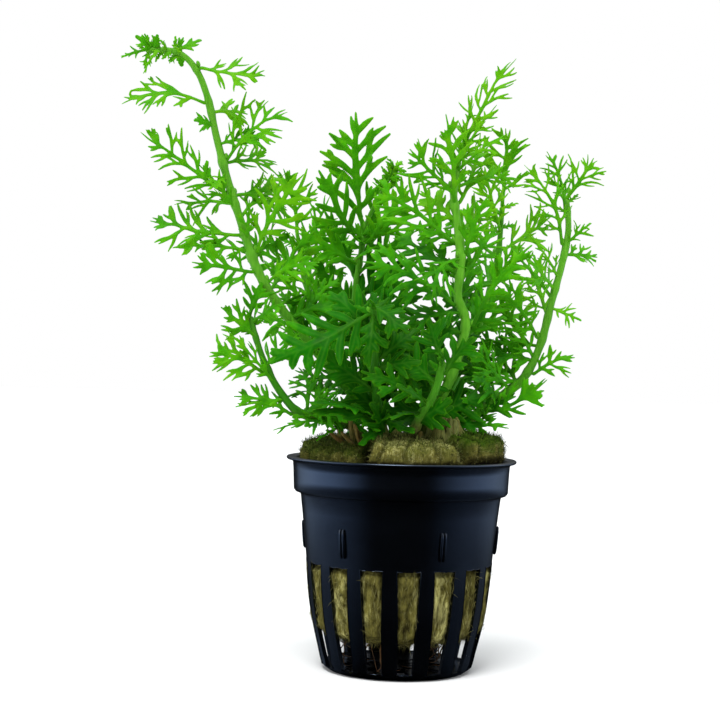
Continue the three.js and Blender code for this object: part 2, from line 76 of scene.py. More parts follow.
# Each stem: its radius at the root and at the tip, how broad the lobes of its leaves are
# at the root and at the tip (0 slender, 1 broad), and the points that it runs through.
STEMS = {
    "tall_left": ((1.3, 0.6), (0.45, 0.08), [
        (-3, 0, 50.5), (-3.5, -0.5, 55), (-10, -3, 63), (-20.5, -6, 75), (-29.5, -8, 85.5),
        (-35, -9, 94), (-39, -10, 105), (-42, -10, 113.5), (-45, -11, 124), (-47.5, -12, 134),
        (-50.5, -12.5, 140.5), (-55, -13, 144), (-62, -14, 144)]),
    "low_left": ((1.25, 0.6), (0.4, 0.12), [
        (-8, -4, 50.5), (-9, -6, 55), (-14, -9, 59), (-20, -11, 60), (-25, -12, 61.5),
        (-29, -12, 66), (-32, -12, 71), (-34.5, -11, 77), (-36.5, -10, 83.5)]),
    "back_centre": ((1.2, 0.6), (0.9, 0.6), [
        (0, 5, 50.5), (-1, 6, 56), (-6, 10, 66.5), (-11.5, 12, 79.5), (-12, 13, 91),
        (-11, 13, 99), (-10.5, 12, 104.5)]),
    "tall_right": ((1.35, 0.75), (0.85, 0.12), [
        (4, -4, 50.5), (4.5, -5, 56), (8.5, -8, 64.5), (12, -10, 73.5), (14, -10, 82.5),
        (12, -10, 89), (12.5, -10, 97), (11.5, -9, 106), (10.5, -8, 113.5), (11.5, -6, 121.5)]),
    "right": ((1.25, 0.65), (0.45, 0.0), [
        (8, 1, 50.5), (9, 1, 55.5), (16, 0, 60), (23, -2, 65.5), (28.5, -4, 70.5),
        (32, -5, 78), (34.5, -6, 89), (36.5, -6, 97), (38, -5, 105.5), (37.5, -4, 113)]),
    "back_left": ((1.2, 0.6), (0.7, 0.15), [
        (-5, 8, 50.5), (-6, 9, 56), (-13, 16, 66), (-20.5, 22, 81), (-25, 25, 93.5),
        (-27, 26, 104)]),
    "back_right": ((1.2, 0.6), (0.7, 0.15), [
        (6, 9, 50.5), (7, 10, 56), (13, 14, 69), (19.5, 19, 84.5), (23.5, 22, 99.5),
        (24.5, 22, 113.5)]),
    "front": ((1.15, 0.8), (0.9, 0.7), [
        (2, -9, 50.5), (2, -10.5, 55), (3.5, -16, 60.5), (6, -19, 65), (7.5, -20, 69.5),
        (8.5, -20, 74)]),
    "front_left": ((1.15, 0.7), (1.0, 0.9), [
        (-3.5, -9.5, 50.5), (-4, -11, 55), (-6.5, -15, 65), (-7, -18, 74), (-7, -19, 81),
        (-8, -20, 86)]),
    "crest": ((0.6, 0.4), (0.3, 0.2), [
        (-11, 12.6, 101), (-9.5, 13, 108), (-6, 13.5, 115.5), (-2.8, 13.5, 121.8)]),
}

# The stem that each side shoot grows from; the model has no solid for it of its own.
PARENTS = {"crest": "back_centre"}

FRONT = (0, -1, 0.45)
BACK = (0, 1, 0.45)
UP = (0, -0.35, 1)

# Each leaf: where it leaves its stem, counted in the stem's points, its tip, its width, the
# pairs of its lobes, the way that its upper side looks, and how far its middle bows sideways.
LEAVES = {
    "tall_left": [
        (9.9, (-34, -15, 138.5), 9.5, 4, FRONT, -0.1),
        (8.85, (-66.5, -17, 131), 10.5, 4, FRONT, -0.1),
        (7.55, (-28.5, -17, 130), 15, 4, FRONT, 0.06),
        (6.85, (-62.5, -15, 125), 10.5, 5, FRONT, 0.04),
        (6.75, (-29.5, 0, 108.5), 13, 4, FRONT, 0.05),
        (5.75, (-60.5, -8, 105), 12, 5, FRONT, 0.06),
        (5.35, (-24.5, -15, 116), 13, 4, FRONT, 0.05),
        (5.0, (-49.5, -18, 95), 11, 4, FRONT, 0.04),
        (4.65, (-20.5, -12, 96), 9, 4, FRONT, 0.08)],
    "low_left": [
        (5.9, (-45, -15, 74.5), 11, 4, FRONT, -0.05),
        (4.0, (-38.5, -14, 66.5), 8.5, 4, FRONT, -0.08),
        (1.9, (-26.5, -21, 60.5), 9, 4, UP, -0.06),
        (3.5, (-29, -3, 72.5), 8, 3, FRONT, -0.08)],
    "back_centre": [
        (6.0, (-13, 8, 134), 18, 5, FRONT, 0.03),
        (5.7, (-21, 5, 120), 12.5, 4, FRONT, 0.04),
        (4.75, (-26, 6, 105), 13, 4, FRONT, 0.05),
        (5.6, (0, 4, 116), 13, 4, FRONT, -0.05),
        (2.9, (4, 1, 91), 12, 4, FRONT, 0.05)],
    "tall_right": [
        (3.95, (28.5, -14, 101), 9, 5, FRONT, 0.05),
        (4.75, (-10.5, -20, 96), 15, 5, FRONT, -0.04),
        (6.1, (5.5, -22, 87), 10, 3, FRONT, -0.12),
        (6.2, (18.5, -13, 112.5), 8, 4, FRONT, 0.06),
        (8.1, (1, -14, 123), 12, 4, FRONT, 0.06),
        (7.6, (17.5, 2, 127), 12, 4, FRONT, -0.04),
        (9.0, (24.5, -7, 145.5), 9, 5, FRONT, 0.03),
        (8.2, (26, -4, 117), 9, 4, FRONT, 0.06),
        (6.5, (-8, -14, 115.5), 13, 5, FRONT, 0.02)],
    "right": [
        (9.0, (43.5, -6, 122.5), 12, 3, FRONT, -0.05),
        (8.6, (32, -9, 123.5), 8, 4, FRONT, -0.05),
        (7.55, (26, -10, 120), 10.5, 5, FRONT, -0.08),
        (6.3, (27.5, -15, 98.5), 9.5, 4, FRONT, 0.04),
        (5.15, (21, -8, 92), 11.5, 4, FRONT, -0.04),
        (4.2, (39.5, -8, 76), 8, 3, FRONT, 0.05),
        (2.5, (33, -12, 70), 9.5, 4, FRONT, -0.12),
        (3.4, (15, -13, 77.5), 10, 4, FRONT, 0.05)],
    "back_left": [
        (5.0, (-31, 22, 121.5), 13, 4, BACK, 0.04),
        (4.2, (-43, 32, 105), 13, 4, BACK, -0.05),
        (4.0, (-15.5, 32, 109), 13, 4, BACK, 0.05),
        (3.0, (-37.5, 34, 85.5), 13, 4, BACK, -0.05),
        (2.9, (-8, 34, 92.5), 13, 4, BACK, 0.05)],
    "back_right": [
        (5.0, (24.5, 18, 132.5), 14, 4, BACK, 0.03),
        (4.2, (38, 28, 112), 13, 4, BACK, 0.05),
        (4.1, (11, 30, 112.5), 13, 4, BACK, -0.05),
        (3.0, (35.5, 32, 87.5), 13, 4, BACK, 0.05),
        (2.9, (10, 34, 92.5), 13, 4, BACK, -0.05)],
    "front": [
        (5.0, (4.5, -27, 84.5), 12, 3, FRONT, 0.1),
        (4.3, (15.5, -24, 79), 9, 3, FRONT, 0.08)],
    "front_left": [
        (4.7, (-30.5, -25, 72.5), 17, 5, FRONT, 0.06),
        (1.6, (-21, -27, 63.5), 11, 3, UP, 0.06)],
}

# The small young leaves and those deep in the crowd, which the model has in one with the stem.
INNER_LEAVES = {
    "tall_left": [
        (12, (-67.5, -14, 142), 4, 2, FRONT), (11.7, (-59, -15, 147.5), 4, 2, FRONT),
        (11, (-49, -12, 147), 6.2, 2, FRONT), (8.6, (-38.5, -6, 131), 8, 3, FRONT),
        (7.5, (-31.5, -4, 120), 9, 3, FRONT), (6.5, (-55.5, -3, 109.5), 9, 3, BACK),
        (5.3, (-27, 2, 103), 10, 3, BACK), (4.1, (-19.5, 3, 86), 12, 3, BACK),
        (2.5, (-26, 6, 68), 11, 3, BACK)],
    "low_left": [
        (7.2, (-43, -13, 85), 8, 3, FRONT), (6.1, (-24.5, -16, 79.5), 8, 3, FRONT),
        (8, (-34, -10, 91), 8, 3, FRONT), (7.7, (-28, -15, 86.5), 7, 3, FRONT)],
    "back_centre": [
        (3.2, (0, 22, 94), 11, 3, BACK), (1.7, (-17, 3, 73), 12, 3, FRONT),
        (2.2, (4, 6, 83), 13, 3, FRONT), (1.4, (7, 6, 71), 12, 3, FRONT),
        (5.5, (-3, 14, 120), 11, 3, BACK)],
    "tall_right": [
        (8.6, (22.5, -12, 127), 7, 3, FRONT), (7.5, (8, -13, 131), 11, 4, FRONT),
        (6.6, (20, 3, 112), 11, 3, BACK), (5.6, (-3, -3, 103.5), 13, 4, FRONT),
        (4.4, (17, 2, 101), 12, 3, BACK), (2.7, (-1, -4, 80), 13, 3, FRONT),
        (1.6, (20, -8, 66), 12, 3, FRONT)],
    "right": [
        (7.3, (45.5, -1, 99.5), 7, 3, FRONT), (1.7, (24.5, -11, 58.5), 7, 3, FRONT),
        (2.4, (21, 5, 78), 12, 3, BACK), (5.6, (30, 4, 97.5), 10, 3, BACK),
        (3.7, (18, 2, 82), 11, 3, BACK)],
    "back_left": [
        (1.9, (-23, 22, 66), 10, 3, UP), (1.6, (0, 24, 70), 11, 3, BACK),
        (3.6, (-24, 40, 100), 12, 3, BACK)],
    "back_right": [
        (2.0, (29, 25, 70), 10, 3, UP), (3.5, (22, 38, 104), 12, 3, BACK)],
    "front": [
        (2.6, (-2, -27, 68), 6, 2, FRONT), (2.2, (-3, -25, 60.5), 5, 2, UP),
        (1.6, (11, -14, 63), 9, 3, FRONT)],
    "front_left": [
        (5, (0, -26, 80), 8, 3, FRONT), (2.7, (3, -24, 73.5), 8, 3, FRONT),
        (1.6, (-14, -13, 69), 10, 3, FRONT)],
}

# Leaves that fill the crowd and small ones that hang from the stems, too slight for the model.
LOOSE_LEAVES = {
    "low_left": [
        (2.7, (-30, -17, 57), 4, 2, FRONT), (1.8, (-20, -17, 54.8), 3.4, 2, FRONT),
        (4.6, (-39, -13, 62), 4.5, 2, FRONT), (5.3, (-42, -15, 80), 5, 3, FRONT),
        (3.0, (-20, -6, 68), 6, 3, FRONT), (2.2, (-13, -14, 66), 6, 3, FRONT)],
    "tall_left": [
        (11.6, (-62, -15, 138.5), 3, 2, FRONT), (7.2, (-46.5, -15, 112), 5, 3, FRONT),
        (5.6, (-37, -14, 110), 5, 3, FRONT), (11.7, (-64, -15, 147), 6, 2, FRONT),
        (10.8, (-53.5, -13, 141), 3, 2, FRONT), (3.6, (-16, -2, 93), 9, 4, FRONT),
        (4.4, (-22, 4, 106), 10, 4, BACK), (6.1, (-30, 4, 118), 8, 4, FRONT),
        (3.2, (-30, 2, 90), 8, 4, FRONT), (6.3, (-49, -12, 118), 6, 4, FRONT),
        (5.4, (-52, -12, 99), 7, 4, FRONT), (7.9, (-34, -12, 125), 6, 4, FRONT),
        (8.3, (-50, -14, 128), 5, 3, FRONT), (2.8, (-30, -18, 81), 9, 4, FRONT)],
    "back_centre": [
        (3.6, (-23, 10, 97), 9, 4, FRONT), (4.2, (-20, 14, 110), 9, 4, BACK),
        (2.5, (-22, 8, 87), 9, 3, FRONT), (4.4, (2, 10, 106), 10, 4, FRONT),
        (5.0, (-1, 16, 112), 8, 3, BACK), (3.4, (3, 6, 98), 9, 4, FRONT)],
    "back_left": [
        (3.6, (-14, 22, 105), 9, 4, FRONT), (3.2, (-35, 22, 98), 8, 4, FRONT),
        (4.5, (-19, 20, 115), 9, 4, FRONT), (2.6, (-12, 20, 92), 9, 4, FRONT)],
    "tall_right": [
        (3.5, (23, -4, 91), 9, 4, FRONT), (5.3, (22, -2, 107), 9, 4, FRONT),
        (7.0, (3, -3, 114), 9, 4, FRONT), (8.5, (15, -4, 135), 6, 4, FRONT),
        (8.8, (20, -9, 134), 6, 4, FRONT), (6.4, (1, -5, 106), 8, 4, FRONT),
        (4.4, (-3, -13, 82.5), 10, 4, FRONT)],
    "front": [(2.8, (-10, -24, 71), 9, 4, FRONT)],
    "right": [
        (5.8, (41, -9, 84), 5, 3, FRONT), (6.6, (28, -11, 104), 5, 3, FRONT),
        (6.0, (24, 0, 102), 8, 4, FRONT), (4.6, (23, -6, 87), 8, 4, FRONT),
        (7.6, (43, -8, 107), 4.5, 3, FRONT)],
    "back_right": [
        (3.5, (30, 18, 104), 8, 4, FRONT), (3.0, (11, 12, 98), 9, 4, FRONT),
        (2.6, (28, 14, 91), 8, 4, FRONT), (4.5, (18, 16, 123), 8, 4, FRONT)],
    "front_left": [
        (1.3, (-10, -20, 54.5), 6, 2, FRONT), (1.5, (2, -20.5, 57.5), 6, 2, FRONT),
        (1.4, (-3.5, -21, 61), 5, 2, FRONT), (4.7, (-8.5, -24.5, 72.5), 9, 3, FRONT),
        (2.1, (-20, -20, 75), 10, 4, FRONT), (1.5, (-20.5, -25.5, 61.8), 8, 2, FRONT)],
}

# The measures of the model's plain leaves: the gap before a stem, the half width at the root
# and along the rib, the share of the length that is stalk, how far lobes lean forwards and
# stand behind those of the other side, how far a leaf bows up and its sides sink, half its
# thickness, and the swings that a crowded leaf may take, in rings of one step.
JOINT_GAP = 0.3
ROOT_HALF_WIDTH = 0.45
PETIOLE_SHARE = 0.13
RIB_HALF_WIDTH = 0.75
LOBE_LEAN = 0.5
LOBE_STAGGER = 0.3
LEAF_BOW = 0.08
LEAF_SINK = 0.1
LEAF_HALF_THICKNESS = 0.25
SWING_STEP = math.radians(5)
SWING_RINGS = 8
# How far a leaf's box may be off its node's, in millimetres.
MOST_MISS = 0.2

# How the half width of a lobe changes from its root to its tip, as a share of the usual.
SLENDER_LOBE = np.array([0.68, 0.84, 1.0, 0.94, 0.68, 0.18])
BROAD_LOBE = np.array([0.72, 0.86, 1.02, 1.08, 0.86, 0.36])


# Meshes and noise


def new_piece(name, points, faces, material, attributes=None):
    """An object of points in millimetres and a list of face arrays, each with one corner count."""
    mesh = bpy.data.meshes.new(name)
    mesh.vertices.add(len(points))
    mesh.vertices.foreach_set("co", (np.asarray(points) * MM).astype(np.float32).ravel())
    corners = np.concatenate([np.asarray(part).ravel() for part in faces]).astype(np.int32)
    counts = np.concatenate([np.full(len(part), np.shape(part)[1]) for part in faces])
    mesh.loops.add(len(corners))
    mesh.loops.foreach_set("vertex_index", corners)
    mesh.polygons.add(len(counts))
    starts = np.concatenate([[0], np.cumsum(counts)[:-1]]).astype(np.int32)
    mesh.polygons.foreach_set("loop_start", starts)
    mesh.polygons.foreach_set("use_smooth", np.ones(len(counts), bool))
    mesh.update(calc_edges=True)
    if mesh.validate():
        raise RuntimeError(f"{name} has faces that don't hold together")
    for key, values in (attributes or {}).items():
        layer = mesh.attributes.new(key, "FLOAT", "POINT")
        layer.data.foreach_set("value", np.asarray(values, np.float32))
    piece = bpy.data.objects.new(name, mesh)
    bpy.context.scene.collection.objects.link(piece)
    mesh.materials.append(material)
    return piece


def keep(piece, slot, *nodes):
    """The piece rides on the model's one body and stands for these nodes; the slot is not used."""
    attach(piece, "root")
    if nodes:
        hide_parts(*nodes)
    return piece


def unit(vectors):
    """The vectors, each over its own length."""
    vectors = np.asarray(vectors, float)
    return vectors / np.linalg.norm(vectors, axis=-1, keepdims=True)


# How many waves make up the noise, and the gain that brings it to about -1 to 1.
WOBBLE_WAVES = 7
WOBBLE_GAIN = 1.7


def wobble(places, size, seed):
    """Smooth noise from about -1 to 1: the mean of sines that run in random directions, in
    waves about `size` long, times a gain."""
    rng = np.random.default_rng(seed)
    waves = unit(rng.normal(size=(WOBBLE_WAVES, places.shape[-1])))
    waves *= 2 * np.pi / size * rng.uniform(0.6, 1.5, (WOBBLE_WAVES, 1))
    phases = rng.uniform(0, 2 * np.pi, WOBBLE_WAVES)
    return np.sin(places @ waves.T + phases).mean(-1) * WOBBLE_GAIN


def smooth_step(low, high, value):
    """0 below low, 1 above high, and 3t^2 - 2t^3 between them."""
    share = np.clip((value - low) / (high - low), 0, 1)
    return share * share * (3 - 2 * share)


def band_faces(rows, columns, first=0):
    """Quads between the rows of a grid whose last column joins the first."""
    here = first + np.arange(rows * columns).reshape(rows, columns)
    right = np.roll(here, -1, 1)
    return np.stack([here[:-1], right[:-1], right[1:], here[1:]], -1).reshape(-1, 4)


def fan_faces(ring, pole, upward):
    """Triangles from a ring to its pole, facing along the rows or against them."""
    after = np.roll(ring, -1)
    tip = np.full(len(ring), pole)
    return np.stack([tip, ring, after] if upward else [tip, after, ring], -1)


def spline(points, share):
    """A Catmull-Rom curve of tension 0.5. Between two points it is the cubic whose slope at
    each is half the step from the point before to the point after."""
    points = np.asarray(points, float)
    share = np.atleast_1d(share)
    last = len(points) - 1
    index = np.clip(np.floor(share * last).astype(int), 0, last - 1)
    t = (share * last - index)[:, None]
    ends = [2 * points[0] - points[1], 2 * points[-1] - points[-2]]
    longer = np.vstack([ends[0], points, ends[1]])
    before, here, there, beyond = (longer[index + k] for k in range(4))
    leave, arrive = (there - before) / 2, (beyond - here) / 2
    cubic = 2 * here - 2 * there + leave + arrive
    square = -3 * here + 3 * there - 2 * leave - arrive
    return ((cubic * t + square) * t + leave) * t + here


def tube(path, radii, sides, across=(0, 1, 0)):
    """A closed tube. At each place of the path P the ring is P + r (cos a N + sin a B), where
    N is square to the path and nearest to `across`, and B = T x N; radii may differ by a."""
    path, across = np.asarray(path, float), np.asarray(across, float)
    ahead = unit(np.gradient(path, axis=0))
    normal = unit(across - ahead * (ahead @ across)[:, None])
    binormal = np.cross(ahead, normal)
    angle = np.arange(sides) * 2 * np.pi / sides
    radii = np.asarray(radii, float).reshape(len(path), -1, 1)
    out = np.cos(angle)[:, None] * normal[:, None] + np.sin(angle)[:, None] * binormal[:, None]
    rings = path[:, None] + radii * out
    count = len(path) * sides
    points = np.vstack([rings.reshape(-1, 3), path[0], path[-1]])
    low, high = np.arange(sides), np.arange(count - sides, count)
    faces = [
        band_faces(len(path), sides),
        fan_faces(low, count, False),
        fan_faces(high, count + 1, True),
    ]
    return points, faces


def joined(parts):
    """Several (points, faces, attributes) bodies as one."""
    points, faces, attributes, start = [], [], {}, 0
    for part_points, part_faces, part_values in parts:
        points.append(part_points)
        faces += [np.asarray(block) + start for block in part_faces]
        start += len(part_points)
        for key, values in part_values.items():
            attributes.setdefault(key, []).append(values)
    merged = {key: np.concatenate(values) for key, values in attributes.items()}
    return np.vstack(points), faces, merged


# Materials


class Shader:
    """A node material under construction, with a short call for each kind of node."""

    def __init__(self, name):
        self.material = bpy.data.materials.new(name)
        self.material.use_nodes = True
        self.tree = self.material.node_tree
        self.surface = self.tree.nodes["Principled BSDF"]
        self.place = self.node("ShaderNodeTexCoord", {}, "Object")

    def put(self, socket, value):
        """Joins a socket to an output, or sets its value."""
        if isinstance(value, bpy.types.NodeSocket):
            self.tree.links.new(value, socket)
        else:
            socket.default_value = value

    def node(self, kind, inputs, output=0, **settings):
        """A new node with its settings and inputs; gives one of its outputs."""
        made = self.tree.nodes.new(kind)
        for key, value in settings.items():
            setattr(made, key, value)
        for key, value in inputs.items():
            self.put(made.inputs[key], value)
        return made.outputs[output]

    def finish(self, **inputs):
        """Sets the surface's sockets, whose names are written with underscores."""
        for key, value in inputs.items():
            self.put(self.surface.inputs[key.replace("_", " ")], value)
        return self.material

    def attribute(self, name):
        """The piece's own value of this name at each point."""
        return self.node("ShaderNodeAttribute", {}, "Fac", attribute_name=name)

    def math(self, operation, first, second):
        """Two values added, multiplied and so on."""
        return self.node("ShaderNodeMath", {0: first, 1: second}, operation=operation)

    def noise(self, scale, detail=4.0, roughness=0.55, vector=None):
        """Cloudy noise from 0 to 1, with `scale` waves to a metre."""
        inputs = {"Vector": vector or self.place, "Scale": scale, "Detail": detail}
        inputs["Roughness"] = roughness
        return self.node("ShaderNodeTexNoise", inputs)

    def streaks(self, scales, detail, roughness=0.55):
        """Noise with its own scale along each axis, so that it runs in streaks."""
        vector = self.node("ShaderNodeMapping", {"Vector": self.place, "Scale": scales})
        return self.noise(1.0, detail, roughness, vector)

    def cells(self, scale):
        """Pebbles: how far each place is from the nearest of many scattered points."""
        return self.node("ShaderNodeTexVoronoi", {"Vector": self.place, "Scale": scale})

    def between(self, value, old, new=(0.0, 1.0)):
        """The value carried from its old range to a new one, and kept inside it."""
        inputs = {"Value": value, 1: old[0], 2: old[1], 3: new[0], 4: new[1]}
        return self.node("ShaderNodeMapRange", inputs)

    def mix(self, share, first, second):
        """Two colours mixed. The node takes them at its sockets 6 and 7 and gives their mix at
        its output 2."""
        inputs = {0: share, 6: first, 7: second}
        return self.node("ShaderNodeMix", inputs, 2, data_type="RGBA")

    def ramp(self, share, stops):
        """Colours at places along a ramp."""
        made = self.tree.nodes.new("ShaderNodeValToRGB")
        self.put(made.inputs[0], share)
        ramp = made.color_ramp
        while len(ramp.elements) < len(stops):
            ramp.elements.new(0.5)
        for element, (position, colour) in zip(ramp.elements, stops):
            element.position, element.color = position, colour
        return made.outputs[0]

    def bump(self, height, distance, strength=1.0):
        """A surface that looks raised where the height is 1, by a distance in metres."""
        inputs = {"Height": height, "Distance": distance, "Strength": strength}
        return self.node("ShaderNodeBump", inputs)


def colour(setting, factor=1.0):
    """A colour setting as four numbers, made lighter or darker."""
    return tuple(channel * factor for channel in setting[:3]) + (1.0,)


def plastic_material(sizes):
    """Satin moulded plastic: a fine grain, soft flow marks and a few dull patches."""
    shader = Shader("net_pot_plastic")
    patches = shader.noise(scale=90.0, detail=5.0, roughness=0.6)
    grain = shader.noise(scale=2600.0, detail=2.0)
    flow = shader.streaks((700.0, 700.0, 60.0), detail=3.0)
    dull = shader.between(patches, (0.45, 0.75))
    tint = shader.mix(dull, colour(sizes.plastic), colour(sizes.plastic, 1.7))
    height = shader.math("ADD", grain, shader.math("MULTIPLY", flow, 1.6))
    return shader.finish(
        Base_Color=tint,
        Roughness=shader.between(patches, (0.3, 0.8), (0.2, 0.29)),
        Specular_IOR_Level=0.8,
        Specular_Tint=(0.56, 0.72, 1.0, 1.0),
        Normal=shader.bump(height, distance=0.00001, strength=0.6),
    )


def wool_material(sizes):
    """Felted mineral wool: streaks that run down the sides, pale stretches and green algae, with
    painted shade that darkens its hollows."""
    shader = Shader("rock_wool_felt")
    streaks = shader.streaks((1500.0, 1500.0, 300.0), detail=6.0, roughness=0.7)
    blotches = shader.noise(scale=210.0, detail=5.0, roughness=0.65)
    fine = shader.noise(scale=5200.0, detail=3.0, roughness=0.7)
    half = shader.math("MULTIPLY", shader.math("ADD", streaks, blotches), 0.5)
    pale = shader.math("MULTIPLY", shader.attribute("pale"), 0.13)
    shade = shader.ramp(
        shader.between(shader.math("ADD", half, pale), (0.38, 0.64)),
        [
            (0.0, colour(sizes.wool_dark_and_shade)),
            (0.35, colour(sizes.wool, 0.6)),
            (0.7, colour(sizes.wool)),
            (1.0, colour(sizes.wool_light)),
        ],
    )
    green = shader.mix(fine, colour(sizes.algae, 0.5), colour(sizes.algae, 1.5))
    tint = shader.mix(shader.attribute("algae"), shade, green)
    # Painted shade: the hollows are mixed towards the dark wool.
    tint = shader.mix(shader.attribute("painted_hollow_shade"), tint, colour(sizes.wool_dark_and_shade, 0.4))
    height = shader.math("ADD", streaks, shader.math("MULTIPLY", fine, 0.5))
    return shader.finish(
        Base_Color=tint,
        Roughness=0.95,
        Specular_IOR_Level=0.05,
        Normal=shader.bump(height, distance=0.0005, strength=0.9),
    )


def fibre_material(sizes):
    """Single fibres from dark to straw, paler towards their tips, some of them green, and darker
    where painted shade falls in the wool's hollows.
    """
    shader = Shader("rock_wool_fibres")
    specks = shader.noise(scale=900.0, detail=3.0, roughness=0.7)
    shade = shader.math("ADD", shader.attribute("shade"), specks)
    share = shader.between(shade, (0.55, 1.45))
    pale = shader.mix(share, colour(sizes.wool, 0.3), colour(sizes.wool_light, 1.2))
    pale = shader.mix(shader.attribute("tip"), colour(sizes.wool, 0.4), pale)
    green = shader.mix(share, colour(sizes.algae, 0.6), colour(sizes.algae, 3.2))
    green = shader.mix(shader.attribute("tip"), colour(sizes.algae, 0.7), green)
    tint = shader.mix(shader.attribute("algae"), pale, green)
    return shader.finish(Base_Color=tint, Roughness=0.8, Specular_IOR_Level=0.12)


def root_material(sizes):
    """Brown root hairs with lighter stretches."""
    shader = Shader("brown_roots")
    patches = shader.between(shader.noise(scale=300.0), (0.35, 0.65))
    grain = shader.noise(scale=3000.0)
    return shader.finish(
        Base_Color=shader.mix(patches, colour(sizes.root, 0.5), colour(sizes.root, 1.5)),
        Roughness=0.6,
        Normal=shader.bump(grain, distance=0.00005),
    )


def stem_material(sizes):
    """Green stalks, with painted shade that darkens them in the heart of the plant: long pale
    streaks, brown specks, a beige foot with dark strands, and brown all over where a stalk
    has withered."""
    shader = Shader("stem_skin")
    streaks = shader.streaks((1500.0, 1500.0, 110.0), detail=4.0, roughness=0.6)
    pale = shader.between(streaks, (0.2, 0.8))
    green = shader.mix(pale, colour(sizes.stem), colour(sizes.stem_light))
    # Painted shade: a stalk's low tone mixes it towards the deep stem colour.
    shaded = shader.mix(0.85, green, colour(sizes.stem_painted_shade))
    green = shader.mix(shader.attribute("tone_and_shade"), shaded, green)
    specks = shader.noise(scale=1100.0, detail=2.0, roughness=0.5)
    green = shader.mix(shader.between(specks, (0.74, 0.78)), green, colour(sizes.foot, 0.4))
    blotches = shader.math("MULTIPLY", shader.noise(scale=160.0, detail=3.0), 0.4)
    strands = shader.streaks((2600.0, 2600.0, 150.0), detail=5.0, roughness=0.7)
    strands = shader.math("MULTIPLY", strands, 0.6)
    worn = shader.between(shader.math("ADD", blotches, strands), (0.35, 0.65))
    foot = shader.mix(worn, colour(sizes.foot, 0.35), colour(sizes.foot, 1.5))
    dead = shader.mix(worn, colour(sizes.dead, 0.3), colour(sizes.dead, 1.6))
    tint = shader.mix(shader.attribute("foot"), green, foot)
    tint = shader.mix(shader.attribute("dead"), tint, dead)
    return shader.finish(
        Base_Color=tint,
        Roughness=shader.between(streaks, (0.3, 0.7), (0.36, 0.5)),
        Specular_IOR_Level=0.12,
        Specular_Tint=(0.7, 1.0, 0.5, 1.0),
        Subsurface_Weight=0.15,
        Subsurface_Radius=(0.7, 1.0, 0.25),
        Subsurface_Scale=0.0009,
        Normal=shader.bump(streaks, distance=0.00006, strength=0.4),
    )


def leaf_material(sizes):
    """Thin green blades: painted shade darkens them in the heart of the plant, and they are
    yellowish where they are young and, as painted light, towards the plant's top and sides,
    with paler veins and edges and a fine pebbled skin."""
    shader = Shader("leaf_blade")
    mottle = shader.noise(scale=330.0, detail=2.5, roughness=0.5)
    uneven = shader.between(mottle, (0.3, 0.7), (-0.16, 0.12))
    # The tone runs from painted shade through the leaves' own greens to young leaves in painted
    # light.
    green = shader.ramp(
        shader.math("ADD", shader.attribute("tone_and_shade"), uneven),
        [
            (0.0, colour(sizes.leaf_dark_and_shade, 0.55)),
            (0.3, colour(sizes.leaf_dark_and_shade)),
            (0.62, colour(sizes.leaf)),
            (1.0, colour(sizes.leaf_young_and_lit)),
        ],
    )
    vein = shader.math("MULTIPLY", shader.attribute("vein"), 0.5)
    tint = shader.mix(vein, green, shader.mix(0.4, green, colour(sizes.stem_light)))
    edge = shader.math("MULTIPLY", shader.attribute("edge"), 0.18)
    tint = shader.mix(edge, tint, colour(sizes.leaf_young_and_lit))
    pebbles = shader.cells(scale=2300.0)
    height = shader.math("ADD", pebbles, shader.math("MULTIPLY", mottle, 3.0))
    return shader.finish(
        Base_Color=tint,
        Roughness=shader.between(mottle, (0.3, 0.7), (0.34, 0.5)),
        Specular_IOR_Level=0.07,
        Specular_Tint=(0.5, 1.0, 0.3, 1.0),
        Subsurface_Weight=0.15,
        Subsurface_Radius=(0.6, 1.0, 0.1),
        Subsurface_Scale=0.0008,
        Normal=shader.bump(height, distance=0.00004, strength=0.25),
    )


# Pot

# The wall and the floor as pairs of (radius, height), outside and inside, from near the
# middle of the floor to the rim. The two lists go together row by row.
POT_OUTSIDE = [
    (3.0, 0.0), (6.5, 0.0), (9.0, 0.0), (11.5, 0.0), (14.0, 0.0), (15.8, 0.0), (16.45, 0.12),
    (17.35, 0.75), (17.95, 1.3), (18.35, 2.6), (18.9, 5.0), (19.85, 8.8), (20.7, 12.5),
    (21.35, 16.5), (21.85, 21.0), (22.2, 25.8), (22.5, 29.0), (22.95, 33.0), (23.45, 37.5),
    (23.9, 41.2), (24.1, 41.8), (25.2, 42.15), (25.6, 42.7), (25.7, 45.0), (25.82, 47.5),
    (25.95, 49.1), (26.25, 49.5), (27.2, 49.72), (27.48, 49.95), (27.5, 50.25), (27.3, 50.48),
]
POT_INSIDE = [
    (3.0, 1.0), (6.5, 1.0), (9.0, 1.0), (11.5, 1.0), (14.0, 1.0), (15.6, 1.0), (16.1, 1.0),
    (16.6, 1.05), (17.1, 1.45), (17.5, 2.6), (18.05, 5.0), (19.0, 8.8), (19.85, 12.5),
    (20.5, 16.5), (21.0, 21.0), (21.35, 25.8), (21.65, 29.0), (22.1, 33.0), (22.6, 37.5),
    (23.05, 41.4), (23.2, 42.0), (23.45, 42.4), (23.65, 42.9), (23.95, 44.0), (24.3, 45.6),
    (24.7, 47.5), (24.85, 48.4), (24.95, 49.1), (25.05, 49.7), (25.2, 50.2), (25.5, 50.4),
]
# The wall is a grid of cells, open for the side slots and the drain slots between these rows of
# the profile. So many cells cross a slot and a bar. Between these heights a slot widens.
SLOT_ROWS = (8, 15)
DRAIN_ROWS = (1, 4)
SLOT_CELLS = 4
BAR_CELLS = 3
SLOT_SPAN = (1.3, 25.8)
# How wide the slots' columns run between two drain slots, as a share of a drain slot.
BETWEEN_DRAINS = 0.6

